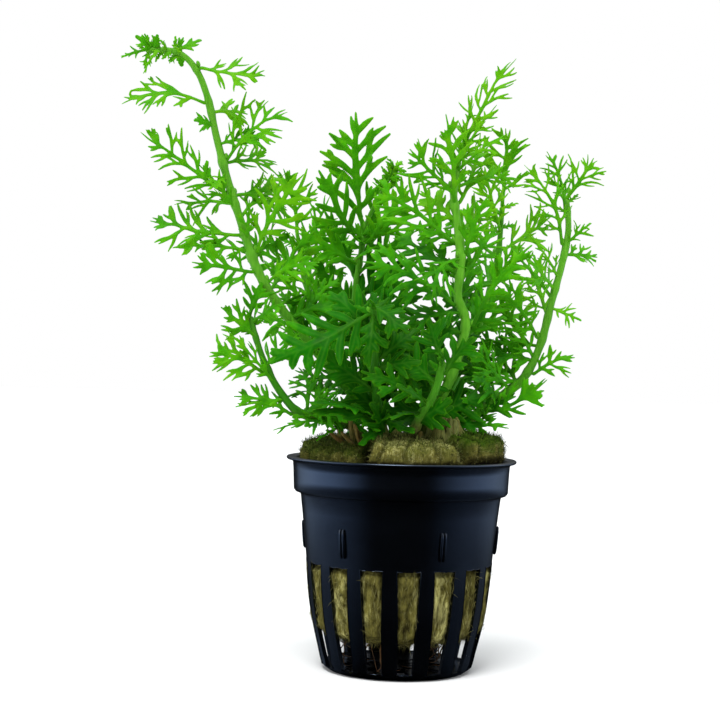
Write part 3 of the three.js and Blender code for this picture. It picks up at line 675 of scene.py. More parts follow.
# A stacking lug is two ridges side by side: the heights of a ridge's rings, how far each is
# drawn in, the ridge's distance from the axis at its foot and at its head, half its depth and
# its width, how far it stands from the lug's middle, and the power that rounds its section.
LUG_HEIGHTS = np.array([28.1, 28.6, 29.8, 33.4, 34.4, 34.8])
LUG_SHRINK = np.array([0.4, 0.85, 1.0, 1.0, 0.85, 0.5])
LUG_RADII = (22.7, 23.25)
LUG_HALF_DEPTH = 0.5
LUG_HALF_WIDTH = 0.33
LUG_ASIDE = 0.41
LUG_ROUNDING = 0.6
LUG_SIDES = 16
# How many lugs there are, and the turn of the first from +X, in degrees.
LUG_COUNT = 6
LUG_TURN = -66

# The pot's moulded edges: how far they are rounded, and how sharp an edge has to be for it.
EDGE_ROUNDING = 0.13
SHARP_EDGE = math.radians(38)


def pot_columns(sizes, outside):
    """The turn of each of the wall's columns at each row of its profile. Across a slot they lie
    at c + h(z) u, where c is the slot's middle, h its half angle and u runs from -1 to 1, and
    across a bar they share out what is left."""
    count = sizes.slot_count
    share = np.clip((outside[:, 1] - SLOT_SPAN[0]) / (SLOT_SPAN[1] - SLOT_SPAN[0]), 0, 1)
    slot_half = (sizes.slot_foot + (sizes.slot_head - sizes.slot_foot) * share) / MM / 2
    half = np.repeat((slot_half / outside[:, 0])[:, None], count, 1)
    floor = np.arange(len(outside)) <= DRAIN_ROWS[1] + 1
    drain = (sizes.drain_width / MM / 2 / outside[:, 0])[floor, None]
    half[np.ix_(floor, np.arange(0, count, 2))] = drain
    half[np.ix_(floor, np.arange(1, count, 2))] = drain * BETWEEN_DRAINS
    middles = math.radians(sizes.slot_turn) + 2 * math.pi / count * np.arange(count)
    in_slot = middles[:, None] + half[..., None] * np.linspace(-1, 1, SLOT_CELLS + 1)
    after = np.roll(in_slot[..., 0], -1, 1)
    after[:, -1] += 2 * math.pi
    bar_share = np.arange(1, BAR_CELLS) / BAR_CELLS
    in_bar = in_slot[..., -1:] + (after - in_slot[..., -1])[..., None] * bar_share
    return np.concatenate([in_slot, in_bar], -1).reshape(len(outside), -1)


def pot_shell(sizes):
    """The pot as one closed shell. A point of row j is (r cos t, r sin t, z), with the radius r
    and the height z of that row and the turn t of its column there. The cells of the slots are
    left out of both skins, and walls join the skins round each slot and along the rim."""
    outside, inside = np.array(POT_OUTSIDE), np.array(POT_INSIDE)
    scale = sizes.rim_radius / MM / outside[:, 0].max()
    outside[:, 0] *= scale
    inside[:, 0] *= scale
    angle = pot_columns(sizes, outside)
    rows, columns = angle.shape

    def skin(profile):
        """The points of one skin, row by row."""
        ring = np.stack([np.cos(angle), np.sin(angle)], -1) * profile[:, None, :1]
        height = np.broadcast_to(profile[:, None, 1:], (rows, columns, 1))
        return np.concatenate([ring, height], -1).reshape(-1, 3)

    solid = np.ones((rows - 1, columns), bool)
    pitch, cell = np.divmod(np.arange(columns), SLOT_CELLS + BAR_CELLS)
    slotted = cell < SLOT_CELLS
    solid[slice(*SLOT_ROWS), slotted] = False
    solid[slice(*DRAIN_ROWS), slotted & (pitch % 2 == 0)] = False

    outer = np.arange(rows * columns).reshape(rows, columns)
    inner = outer + rows * columns
    next_out, next_in = np.roll(outer, -1, 1), np.roll(inner, -1, 1)
    out_quads = np.stack([outer[:-1], next_out[:-1], next_out[1:], outer[1:]], -1)
    in_quads = np.stack([inner[:-1], inner[1:], next_in[1:], next_in[:-1]], -1)

    def wall(edge_out, edge_in, step_out, step_in, where=slice(None)):
        """Quads from an edge of the outer skin to the same edge of the inner one."""
        return np.stack([edge_out, step_out, step_in, edge_in], -1)[where]

    left_open = solid & ~np.roll(solid, 1, 1)
    right_open = solid & ~np.roll(solid, -1, 1)
    over_hole = solid[1:] & ~solid[:-1]
    under_hole = solid[:-1] & ~solid[1:]
    poles = 2 * rows * columns
    faces = [
        out_quads[solid],
        in_quads[solid],
        wall(outer[1:], inner[1:], outer[:-1], inner[:-1], left_open),
        wall(next_out[:-1], next_in[:-1], next_out[1:], next_in[1:], right_open),
        wall(outer[1:-1], inner[1:-1], next_out[1:-1], next_in[1:-1], over_hole),
        wall(next_out[1:-1], next_in[1:-1], outer[1:-1], inner[1:-1], under_hole),
        wall(outer[-1], inner[-1], next_out[-1], next_in[-1]),
        fan_faces(outer[0], poles, False),
        fan_faces(inner[0], poles + 1, True),
    ]
    centre = np.array([[0, 0, 0], [0, 0, inside[0, 1]]])
    points = np.vstack([skin(outside), skin(inside), centre])
    corners = np.concatenate([part.ravel() for part in faces])
    used, where = np.unique(corners, return_inverse=True)
    parts = np.split(where, np.cumsum([part.size for part in faces])[:-1])
    return points[used], [new.reshape(old.shape) for new, old in zip(parts, faces)]


def lug_body(turn, aside):
    """One of the two ridges of a stacking lug, a little aside of the lug's middle. Its section
    is a rounded rectangle: half its width times cos a and half its depth times sin a, each to
    the power of 0.6. It narrows at both ends."""
    angle = np.arange(LUG_SIDES) * 2 * np.pi / LUG_SIDES

    def rounded(value):
        """The power of the value, with its sign kept."""
        return np.sign(value) * np.abs(value) ** LUG_ROUNDING

    lean = np.interp(LUG_HEIGHTS, LUG_HEIGHTS[[0, -1]], LUG_RADII)
    x = lean[:, None] + LUG_HALF_DEPTH * rounded(np.sin(angle)) * LUG_SHRINK[:, None]
    y = aside + LUG_HALF_WIDTH * rounded(np.cos(angle)) * LUG_SHRINK[:, None]
    z = np.broadcast_to(LUG_HEIGHTS[:, None], x.shape)
    cos, sin = math.cos(math.radians(turn)), math.sin(math.radians(turn))
    points = np.stack([x * cos - y * sin, x * sin + y * cos, z], -1)
    ends = points.mean(1)[[0, -1]]
    count = z.size
    faces = [
        band_faces(len(LUG_HEIGHTS), LUG_SIDES)[:, ::-1],
        fan_faces(np.arange(LUG_SIDES), count, True),
        fan_faces(np.arange(count - LUG_SIDES, count), count + 1, False),
    ]
    return np.vstack([points.reshape(-1, 3), ends]), faces


# Rock wool

# The plug's profile as (radius, height), from under its middle round to its top.
WOOL_PROFILE = [
    (0, 9.1), (8, 8.6), (16, 8.15), (17.25, 8.1), (18.45, 9.0), (19.4, 12), (20.0, 16.5),
    (20.5, 21), (20.95, 25.8), (22.75, 42.3), (24.0, 48.5), (24.7, 50.5), (24.6, 53.2),
    (24.1, 54.2), (22.5, 55.0), (20, 55.6), (15, 56.0), (9, 56.4), (4, 56.4), (0, 56.4),
]
WOOL_COLUMNS = 384
WOOL_ROWS = 150

# The gaps between the blocks of wool over the rim: the turn from the front towards +X in
# degrees, how deep and how wide the gap is.
WOOL_GAPS = [
    (-24, 1.5, 1.2), (35, 0.8, 0.9), (92, 0.7, 1.0), (150, 0.8, 1.0), (205, 0.6, 0.9),
    (268, 0.7, 1.0),
]
# For each block, from one gap to the next: how far it rises over the profile, how pale it is
# and how green with algae.
WOOL_LIFTS = [0.3, 1.7, 0.4, -0.4, -0.2, -1.2]
WOOL_PALE = [0.5, 0.2, 0.2, 0.3, 0.1, 0.0]
WOOL_ALGAE = [0.4, 0.95, 0.6, 0.5, 0.7, 0.6]
# The furrows between the gaps: how many there are and how wide each is.
WOOL_FURROWS = 22
FURROW_WIDTH = 0.55
# The radius at which the widths of gaps and furrows are measured.
WOOL_RADIUS = 24


def wool_plain():
    """The plug before it is pressed in: the profile turned about the axis, with its rows spaced
    evenly along the profile. Also each column's turn in degrees and each row's radius and
    height."""
    profile = np.array(WOOL_PROFILE, float)
    steps = np.concatenate([[0], np.cumsum(np.hypot(*np.diff(profile, axis=0).T))])
    along = np.linspace(0, steps[-1], WOOL_ROWS + 2)[1:-1]
    radius = np.interp(along, steps, profile[:, 0])[:, None]
    height = np.interp(along, steps, profile[:, 1])[:, None]
    turn = np.arange(WOOL_COLUMNS) * 360.0 / WOOL_COLUMNS
    angle = np.radians(turn - 90)
    ring = np.stack([np.cos(angle), np.sin(angle)], -1) * radius[..., None]
    column = np.broadcast_to(height, (WOOL_ROWS, WOOL_COLUMNS))[..., None]
    return np.concatenate([ring, column], -1), turn, radius, height


def wool_blocks(plain, turn):
    """The blocks over the rim: how deep the gaps and the furrows between them are at each place,
    which falls off as exp(-(d / width)^2) with the distance d from their middle, and how high,
    how pale and how green the wool is round the plug."""
    bent = turn + 2.5 * wobble(plain, 9.0, 16)

    def apart(places):
        """How far each point is from each of these turns, along the rim and in millimetres."""
        return np.abs((bent[..., None] - places + 180) % 360 - 180) * math.radians(WOOL_RADIUS)

    gaps = np.array(WOOL_GAPS, float)
    gap = (np.exp(-((apart(gaps[:, 0]) / gaps[:, 2]) ** 2)) * gaps[:, 1]).max(-1)
    jitter = np.random.default_rng(15).uniform(-5, 5, WOOL_FURROWS)
    pleats = np.arange(WOOL_FURROWS) * 360 / WOOL_FURROWS + jitter
    furrow = np.exp(-((apart(pleats).min(-1) / FURROW_WIDTH) ** 2))
    after_first = (turn - gaps[0, 0]) % 360 + gaps[0, 0]
    block = (np.searchsorted(gaps[:, 0], after_first, side="right") - 1) % len(gaps)
    tables = (WOOL_LIFTS, WOOL_PALE, WOOL_ALGAE)
    return gap, furrow, *(wool_smooth(np.array(table)[block]) for table in tables)


def slot_bulge(pot, turn, radius, height):
    """Where the wool bulges into the pot's slots: 1 - (d / h)^8 at the turn d from a slot's
    middle, where h is the slot's half angle, and nothing over and under the slots."""
    pitch = 360 / pot.slot_count
    off = np.abs((turn - 90 - pot.slot_turn + pitch / 2) % pitch - pitch / 2)
    half = np.interp(height, SLOT_SPAN, (pot.slot_foot / MM / 2, pot.slot_head / MM / 2))
    bulge = np.clip(1 - (off / np.degrees((half + 0.05) / radius.clip(1))) ** 8, 0, 1)
    bulge *= smooth_step(25.6, 24.2, height) * smooth_step(8.6, 10.5, height)
    return bulge


def wool_grid(pot):
    """The plug's skin, with how green and pale it is and how much painted shade darkens its
    hollows: the plain plug pressed in towards its axis and down. Down the sides it bulges into the
    slots, and is pressed in by folds and creases that change quickly round the plug and slowly
    down it. Over the rim gaps and furrows cut it into blocks, each with its height, and lumps and
    nubs make it uneven."""
    plain, turn, radius, height = wool_plain()
    gap, furrow, lift, pale, green = wool_blocks(plain, turn)
    bulge = slot_bulge(pot, turn, radius, height)
    tall = plain * [1, 1, 0.25]
    folds = wobble(tall, 6.0, 11) * 0.5 + 0.5
    creased = wobble(tall + 0.8 * wobble(plain, 8.0, 19)[..., None], 4.2, 12)
    crease = (1 - np.clip(np.abs(creased), 0, 1) ** 0.6) ** 1.5
    lumps = wobble(plain, 4.0, 13) * 0.5 + 0.5
    nubs = wobble(plain, 1.3, 14) * 0.5 + 0.5

    over = smooth_step(48.5, 51.5, height) * smooth_step(9, 15, radius)
    below = smooth_step(49.5, 47.5, height)
    press = below * (0.9 * folds + 0.8 * crease) * (1 - 0.45 * bulge)
    press += 0.1 - bulge * (1.35 + 0.35 * lumps)
    press += over * (2.4 * gap + 0.6 * furrow + 0.45 * nubs)
    press *= smooth_step(0, 6, radius)
    sink = over * (2.0 * gap + 0.45 * furrow - lift)
    sink += smooth_step(50, 53, height) * (0.7 * (1 - lumps) + 0.3 * nubs)
    ragged = smooth_step(10.5, 8.4, height) * (0.5 + 0.5 * wobble(plain, 2.0, 17)) * 0.8
    scale = (1 - press / np.maximum(radius, 0.5))[..., None]
    level = plain[..., 2:] + (ragged - sink)[..., None]
    skin = np.concatenate([plain[..., :2] * scale, level], -1)

    top = smooth_step(50.5, 52.0, height)
    upper = smooth_step(52.5, 55.0, height)
    algae = top * green * np.clip(0.45 + 0.75 * upper + 0.45 * wobble(plain, 5.0, 18), 0, 1)
    # Painted shade: dark in the gaps, furrows and creases, and in a band just under the rim's top.
    painted_hollow_shade = np.clip(over * (gap + 0.45 * furrow) + below * 0.95 * crease, 0, 1)
    painted_hollow_shade = np.maximum(painted_hollow_shade, smooth_step(50.9, 50.2, height) * smooth_step(46, 49, height))
    pale = top * pale + below * np.clip(0.3 + 0.8 * wobble(tall, 7.0, 20), 0, 1)
    return skin, np.clip(algae, 0, 1), painted_hollow_shade, np.clip(pale, 0, 1)


def wool_smooth(values):
    """The values round the plug, each the mean of those within some three degrees."""
    return np.mean([np.roll(values, step) for step in range(-3, 4)], 0)


def wool_body(grid):
    """The skin closed by a pole at the bottom and one on top."""
    skin, algae, painted_hollow_shade, pale = grid
    rows, columns = algae.shape
    count = rows * columns
    poles = np.array([[0, 0, skin[0, :, 2].mean()], [0, 0, skin[-1, :, 2].mean()]])
    points = np.vstack([skin.reshape(-1, 3), poles])
    faces = [
        band_faces(rows, columns),
        fan_faces(np.arange(columns), count, False),
        fan_faces(np.arange(count - columns, count), count + 1, True),
    ]
    fields = {"algae": algae, "painted_hollow_shade": painted_hollow_shade, "pale": pale}
    values = {key: np.append(field.ravel(), [0.0, 0.0]) for key, field in fields.items()}
    return points, faces, values


def fibres(rng, roots, ways, lengths, thickness, bends, algae, painted_hollow_shade):
    """Many tapering hairs. Each is a bent three-sided spike: a ring at its root, one three
    quarters as wide at its middle, moved sideways by its bend, and a point at its tip, moved by
    two fifths of it. Each has a random tone, few pale; painted shade darkens those in hollows."""
    count = len(roots)
    ways = unit(ways)
    aside = unit(np.cross(ways, [0.31, 0.17, 0.93]))
    third = np.cross(ways, aside)
    spin = np.arange(3) * 2 * np.pi / 3
    ring = np.cos(spin)[:, None] * aside[:, None] + np.sin(spin)[:, None] * third[:, None]
    ring = ring * thickness[:, None, None]
    middle = roots + ways * lengths[:, None] * 0.5 + bends
    tips = roots + ways * lengths[:, None] + bends * 0.4
    rows = [roots[:, None] + ring, middle[:, None] + ring * 0.75, tips[:, None]]
    points = np.concatenate(rows, 1)
    starts = np.arange(count)[:, None, None] * points.shape[1]
    quads = np.array([[0, 1, 4, 3], [1, 2, 5, 4], [2, 0, 3, 5]])
    triangles = np.array([[3, 4, 6], [4, 5, 6], [5, 3, 6], [2, 1, 0]])
    faces = [(starts + quads).reshape(-1, 4), (starts + triangles).reshape(-1, 3)]
    # A random tone for each fibre, darkened by painted shade where it grows in a hollow.
    shade = rng.random(count) ** 1.7 * (1 - 0.8 * painted_hollow_shade)
    values = {
        "tip": np.tile([0, 0, 0, 0.6, 0.6, 0.6, 1], count),
        "algae": np.repeat(algae, points.shape[1]),
        "shade": np.repeat(shade, points.shape[1]),
    }
    return points.reshape(-1, 3), faces, values


def wool_samples(grid, count, rng, low, high, inner=0.0):
    """Random places on the wool's skin between two heights and outside an inner radius:
    position, outward way, algae and painted hollow shade."""
    skin, algae, painted_hollow_shade, _ = grid
    down = np.gradient(skin, axis=0)
    around = np.roll(skin, -1, 1) - np.roll(skin, 1, 1)
    outward = np.cross(around, down)
    area = np.linalg.norm(outward, axis=-1)
    outward = outward / np.maximum(area[..., None], 1e-9)
    radius = np.hypot(skin[..., 0], skin[..., 1])
    allowed = (skin[..., 2] > low) & (skin[..., 2] < high) & (radius > inner)
    weight = np.where(allowed, area, 0).ravel()
    pick = rng.choice(weight.size, count, p=weight / weight.sum())
    jitter = rng.uniform(-0.5, 0.5, (count, 2))
    fields = (skin, down, around, outward)
    place, below, beside, outward = (field.reshape(-1, 3)[pick] for field in fields)
    place = place + below * jitter[:, :1] + beside * jitter[:, 1:] * 0.5
    return place, outward, algae.ravel()[pick], painted_hollow_shade.ravel()[pick]


def crown_fibres(grid, count):
    """The fuzz above the rim: short hairs that stand off the wool and lean upwards."""
    rng = np.random.default_rng(21)
    place, outward, algae, painted_hollow_shade = wool_samples(grid, count, rng, 50.2, 60, 6)
    way = outward * 0.8 + rng.normal(0, 0.55, (count, 3)) + [0, 0, 0.35]
    length = rng.uniform(0.5, 1.9, count) * np.where(place[:, 2] > 53, 1.0, 0.75)
    bend = rng.normal(0, 0.16, (count, 3))
    thick = rng.uniform(0.035, 0.095, count)
    green = np.clip(algae * 1.2 + rng.normal(0, 0.15, count), 0, 1)
    return fibres(rng, place - outward * 0.1, way, length, thick, bend, green, painted_hollow_shade)


def side_fibres(grid, count):
    """The matted hairs behind the slots: they lie on the wool and run mostly up and down."""
    rng = np.random.default_rng(22)
    place, outward, algae, painted_hollow_shade = wool_samples(grid, count, rng, 8.0, 27)
    sense = rng.choice([-1.0, 1.0], count)[:, None]
    way = np.array([0, 0, 1.0]) * sense + rng.normal(0, 0.38, (count, 3))
    way -= outward * (np.sum(way * outward, 1) - 0.06)[:, None]
    length = rng.uniform(0.9, 3.0, count)
    bend = rng.normal(0, 0.12, (count, 3)) + outward * 0.05
    thick = rng.uniform(0.03, 0.065, count)
    return fibres(rng, place - outward * 0.02, way, length, thick, bend, algae, painted_hollow_shade)


def fringe_fibres(grid, count):
    """The ragged lower edge: hairs that hang below the wool."""
    rng = np.random.default_rng(23)
    place, outward, algae, painted_hollow_shade = wool_samples(grid, count, rng, 7.5, 9.6, 8)
    way = np.array([0, 0, -1.0]) + rng.normal(0, 0.42, (count, 3)) + outward * 0.15
    length = rng.uniform(0.6, 2.2, count) * rng.choice([1, 1, 1, 1.5], count)
    bend = rng.normal(0, 0.15, (count, 3))
    thick = rng.uniform(0.03, 0.06, count)
    return fibres(rng, place + [0, 0, 0.25], way, length, thick, bend, algae, painted_hollow_shade)


# The points of the two roots that show through the slots at the front, and how many more roots
# there are.
SEEN_ROOTS = [
    ((-13.2, -13.4, 11.0), (-14.9, -12.2, 7.5), (-15.6, -9.6, 5.0), (-14.8, -8.0, 2.2)),
    ((-3.5, -14.5, 9.0), (-4.5, -16.2, 6.0), (-3.8, -15.5, 3.5), (-4.8, -14.5, 1.6)),
]
OTHER_ROOTS = 16
ROOT_RINGS = 25
ROOT_SIDES = 7
# No root goes further out than this, because the pot's wall is there.
ROOT_REACH = 16.2


def root_bodies():
    """Thin roots that hang from the wool and lie in the foot of the pot. Each is a tube along a
    curve from the wool's underside outwards and down, with a seeded sideways drift."""
    rng = np.random.default_rng(31)
    paths = list(SEEN_ROOTS)
    for turn in rng.uniform(0, 2 * np.pi, OTHER_ROOTS):
        out = np.array([math.cos(turn), math.sin(turn)])
        side = np.array([-out[1], out[0]])
        radius = rng.uniform(9, 16)
        drift = rng.uniform(-6, 6)
        foot = min(radius + rng.uniform(-4, 3), 15.4)
        path = [
            (*(out * radius), 9.3),
            (*(out * (radius + 0.6) + side * drift * 0.25), rng.uniform(5.5, 7)),
            (*(out * foot + side * drift * 0.7), rng.uniform(2, 4)),
            (*(out * (foot - 1) + side * drift), 1.4),
            (*(out * (foot - 4) + side * drift * 1.2), 1.35),
        ]
        paths.append(path)
    share = np.linspace(0, 1, ROOT_RINGS)
    taper = np.interp(share, [0, 0.08, 0.7, 1], [0.7, 1, 0.8, 0.2])
    parts = []
    for index, path in enumerate(paths):
        curve = spline(path, share)
        sway = [wobble(curve, 3.0, 40 + index), wobble(curve, 3.0, 80 + index)]
        curve[:, :2] += 0.25 * np.stack(sway, -1)
        outer = np.hypot(curve[:, 0], curve[:, 1])
        curve[:, :2] *= (np.minimum(outer, ROOT_REACH) / np.maximum(outer, 0.1))[:, None]
        radii = rng.uniform(0.13, 0.24) * taper
        parts.append((*tube(curve, radii, ROOT_SIDES, (0.6, 0.8, 0.05)), {}))
    return joined(parts)


# Stems and leaves


def stem_tangent(points, share):
    """The way that a stem runs: from just before a place to just after it."""
    ends = np.clip([share - 0.0001, share + 0.0001], 0, 1)
    low, high = spline(points, ends)
    return unit(high - low)


# How light each stem is in the heart of the plant and above it, from dark green to its palest:
# painted shade, darkest for the stems deep in the plant.
STEM_TONES = {
    "tall_left": (0.1, 0.9), "low_left": (0.0, 0.5), "back_centre": (0.1, 0.45),
    "tall_right": (0.7, 1.0), "right": (0.45, 0.9), "back_left": (0.1, 0.4),
    "back_right": (0.1, 0.4), "front": (0.35, 0.5), "front_left": (0.0, 0.1),
    "crest": (0.6, 0.6),
}
STEM_SIDES = 20
STEM_RING_STEP = 0.7
# How much a stem swells where a leaf joins it, and over what length.
KNOT_SWELL = 0.2
KNOT_LENGTH = 1.1
# How long the rounding of a stem's ends is, and how deep its ribs are.
STEM_DOME = 0.8
RIB_DEPTH = 0.045


def stem_body(name):
    """A stalk: a tube along the stem's curve. Its radius tapers, swells by a fifth where a leaf
    joins, 1 + 0.2 exp(-(d / 1.1)^2) at a distance d from there, and has five shallow ribs,
    1 + 0.045 cos 5a; both ends are domes."""
    radii, _, points = STEMS[name]
    last = len(points) - 1
    length = np.linalg.norm(np.diff(spline(points, np.linspace(0, 1, 200)), axis=0), axis=1).sum()
    share = np.linspace(0, 1, int(length / STEM_RING_STEP))
    radius = np.interp(share, [0, 1], radii)
    joints = {row[0] / last for row in LEAVES.get(name, []) + INNER_LEAVES.get(name, [])}
    for joint in joints:
        near = np.exp(-(((share - joint) * length / KNOT_LENGTH) ** 2))
        radius = radius * (1 + KNOT_SWELL * near)
    end = np.clip(np.minimum(share, 1 - share) * length / STEM_DOME, 0, 1)
    radius = radius * np.sqrt(np.clip(1 - (1 - end) ** 2, 0.02, 1))
    angle = np.arange(STEM_SIDES) * 2 * np.pi / STEM_SIDES
    ribs = 1 + RIB_DEPTH * np.cos(5 * angle + 0.6 * np.sin(share * 9)[:, None])
    grain = 1 + 0.02 * np.sin(share[:, None] * length * 0.9 + 3 * np.cos(angle))
    body, faces = tube(spline(points, share), radius[:, None] * ribs * grain, STEM_SIDES)
    height = body[:, 2]
    # Painted shade: a stem is darker low in the heart of the plant than above it.
    low, high = STEM_TONES[name]
    tone_and_shade = low + (high - low) * smooth_step(60, 100, height)
    foot = smooth_step(62, 55, height + 0.8 * wobble(body, 4.0, 51))
    return body, faces, {"tone_and_shade": tone_and_shade, "foot": foot, "dead": np.zeros(len(tone_and_shade))}


# Old stalks at the foot of the plant: where each starts on the wool, where it ends, its radius
# and how far it has withered, from 0 to 1.
OLD_STALKS = [
    ((5.5, -12.5, 53.5), (6.8, -11.0, 59.5), 0.9, 0),
    ((7.8, -14.0, 53.5), (8.4, -12.8, 60.2), 0.9, 0.1),
    ((10.4, -14.3, 53.5), (10.2, -12.6, 61.0), 0.8, 0),
    ((12.8, -13.2, 53.5), (11.6, -11.8, 60.4), 1.0, 0),
    ((14.6, -11.4, 53.5), (12.8, -10.0, 59.2), 1.0, 0.1),
    ((9.4, -11.2, 53.5), (9.6, -10.2, 62.0), 1.2, 0),
    ((13.2, -8.5, 53.5), (12.0, -7.6, 60.5), 1.1, 0),
    ((3.4, -14.2, 53.5), (4.4, -13.5, 57.5), 0.7, 0.6),
    ((6.6, -13.6, 53.5), (7.6, -12.2, 58.8), 0.8, 0.2),
    ((11.6, -13.9, 53.5), (11.0, -12.4, 59.4), 0.7, 0.3),
    ((9.0, -14.4, 53.5), (9.2, -13.4, 58.2), 0.8, 0),
    ((13.8, -12.4, 53.5), (12.2, -11.0, 60.8), 0.7, 0.2),
    ((-12.2, -11.5, 53.0), (-17.5, -13.0, 57.4), 0.5, 1),
    ((-10.6, -13.4, 53.0), (-14.8, -15.4, 56.9), 0.45, 0.8),
    ((-13.4, -9.4, 53.0), (-16.2, -9.0, 60.2), 0.7, 0.7),
    ((-8.4, -13.6, 53.0), (-11.4, -15.8, 58.9), 0.5, 0.9),
    ((-11.0, -10.5, 53.0), (-12.5, -13.2, 60.5), 0.6, 0.5),
]
OLD_STALK_RINGS = 17
OLD_STALK_SIDES = 16


def old_stalks():
    """The bundle of old stalks: each is a tube that narrows from its flared foot to a torn tip,
    and bows a little to one side."""
    share = np.linspace(0, 1, OLD_STALK_RINGS)
    narrow = np.interp(share, [0, 0.12, 0.6, 0.9, 1], [1.5, 1.15, 0.95, 0.75, 0.3])
    angle = np.arange(OLD_STALK_SIDES) * 2 * np.pi / OLD_STALK_SIDES
    parts = []
    for index, (low, high, radius, dead) in enumerate(OLD_STALKS):
        low, high = np.array(low), np.array(high)
        path = low + (high - low) * share[:, None]
        path += wobble(path, 9.0, 60 + index)[:, None] * 0.5 * np.array([1, 0.5, 0])
        frayed = 1 + 0.14 * np.cos(5 * angle + index) + 0.1 * np.cos(7 * angle + 5 * share[:, None])
        points, faces = tube(path, radius * narrow[:, None] * frayed, OLD_STALK_SIDES)
        flat = np.ones(len(points))
        parts.append((points, faces, {"tone_and_shade": 0.5 * flat, "foot": 0.9 * flat, "dead": dead * flat}))
    return joined(parts)


def turned_about(axis, angle):
    """The 3 x 3 matrix that turns by an angle about an axis of length 1."""
    x, y, z = axis
    skew = np.array([[0, -z, y], [z, 0, -x], [-y, x, 0]])
    return np.eye(3) + math.sin(angle) * skew + (1 - math.cos(angle)) * skew @ skew


def swings():
    """The turns that a crowded leaf may take about its root, the least first."""
    turns = [np.eye(3)]
    for ring in range(1, SWING_RINGS + 1):
        reach = ring * SWING_STEP
        for roll in (0, 1, -1):
            rolled = turned_about((1, 0, 0), roll * reach)
            for way in range(8):
                axis = (0, math.cos(way * math.pi / 4), math.sin(way * math.pi / 4))
                turns.append(turned_about(axis, reach) @ rolled)
            if roll:
                turns.append(rolled)
    return np.array(turns)


def leaf_pose(leaf, name, inner):
    """Where a leaf starts: its stem's middle, its root, the axes of its blade as columns (along
    it, across it, off its upper side) and its length."""
    at, tip, _, _, face = leaf[:5]
    radii, _, points = STEMS[name]
    share = at / (len(points) - 1)
    centre = spline(points, share)[0]
    tangent = stem_tangent(points, share)
    tip, face = np.array(tip, float), np.array(face, float)
    aim = unit(tip - centre)
    out = aim if share == 1 else unit(aim - tangent * (aim @ tangent))
    slant = abs(aim @ tangent) * ROOT_HALF_WIDTH
    radius = radii[0] + (radii[1] - radii[0]) * share
    root = centre if inner else centre + out * (radius + JOINT_GAP + slant)
    chord = unit(tip - root)
    normal = unit(face - chord * (face @ chord))
    axes = np.stack([chord, np.cross(normal, chord), normal], 1)
    return centre, root, axes, float(np.linalg.norm(tip - root))


# A bud's radius in millimetres, and how many rings and sides it is made of.
BUD_RADIUS = 0.48
BUD_RINGS = 9
BUD_SIDES = 10


def bud_bodies(name):
    """Small round buds in every other axil of a stem. Each is a short tube along the stem whose
    radius is 0.48 sin(pi t)^0.5, so that it is closed and round at both ends."""
    parts = []
    share = np.linspace(0, 1, BUD_RINGS)[:, None]
    radii = BUD_RADIUS * np.sin(np.pi * np.linspace(0.03, 0.97, BUD_RINGS)) ** 0.5
    for row in LEAVES.get(name, [])[::2]:
        centre, root, _, _ = leaf_pose(row, name, inner=False)
        ahead = stem_tangent(STEMS[name][2], row[0] / (len(STEMS[name][2]) - 1))
        aside = root - centre
        path = centre + aside * (0.75 + 0.3 * share) + ahead * (1.5 * share + 0.1)
        points, faces = tube(path, radii, BUD_SIDES, (0.1, 1, 0.2))
        flat = np.ones(len(points))
        parts.append((points, faces, {"tone_and_shade": flat, "foot": 0 * flat, "dead": 0 * flat}))
    return parts


def solid_outline(leaf, length):
    """The corners of the model's plain leaf, flat: s along it and w across it."""
    _, _, width, pairs = leaf[:4]
    petiole = PETIOLE_SHARE * length
    pitch = (length - petiole) / (pairs + 0.8)
    rows = [(0, ROOT_HALF_WIDTH), (0, -ROOT_HALF_WIDTH), (length, 0)]
    for side in (-1, 1):
        for i in range(pairs):
            notch = petiole + (i + (0 if side > 0 else LOBE_STAGGER)) * pitch
            reach = lobe_reach(width, i, pairs)
            rows.append((notch, side * RIB_HALF_WIDTH * (1 - 0.5 * notch / length)))
            rows.append((notch + LOBE_LEAN * reach + 0.5 * pitch, side * reach))
    return np.array(rows)


def lobe_reach(width, index, pairs):
    """How far a lobe stands out: longest in the middle of the leaf."""
    along = index / max(pairs - 1, 1)
    return width / 2 * (0.3 + 0.7 * math.sin(math.pi * (0.2 + 0.75 * along)))


def found_axes(leaf, name, node):
    """The leaf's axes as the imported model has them: of all swings, the one whose plain leaf
    fills the node's box. It is an error if none does."""
    _, root, axes, length = leaf_pose(leaf, name, inner=False)
    width, sweep = leaf[2], leaf[5]
    s, w = solid_outline(leaf, length).T
    arch = 4 * s * (length - s) / length
    z = LEAF_BOW * arch - LEAF_SINK * w * w / (width / 2)
    flat = np.stack([s, w + sweep * arch, z], -1)
    off = [0, 0, LEAF_HALF_THICKNESS]
    both = np.concatenate([flat + off, flat - off])
    turns = axes @ swings()
    placed = root + both @ turns.transpose(0, 2, 1)
    box = np.array([list(corner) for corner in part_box(node)]) / MM
    miss = np.abs(np.stack([placed.min(1), placed.max(1)], 1) - box).max((1, 2))
    best = int(miss.argmin())
    if miss[best] > MOST_MISS:
        raise RuntimeError(f"{node} isn't where its row puts it, by {miss[best]:.2f} mm")
    return turns[best]


# The straight pieces that a lobe's vein and a fork's vein are made of.
LOBE_STEPS = 5
FORK_STEPS = 4


def vein(start, bend, end, halves, lifts, steps):
    """One vein, a parabola from start to end drawn towards bend: rows of place along the leaf,
    place across it, half width of the blade there and lift off the leaf's plane."""
    t = np.linspace(0, 1, steps + 1)[:, None]
    way = (1 - t) ** 2 * start + 2 * t * (1 - t) * bend + t**2 * end
    share = t[:, 0]
    half = np.interp(share, np.linspace(0, 1, len(halves)), halves)
    lift = lifts[0] + (lifts[1] - lifts[0]) * share**1.7
    return np.column_stack([way, half, lift])


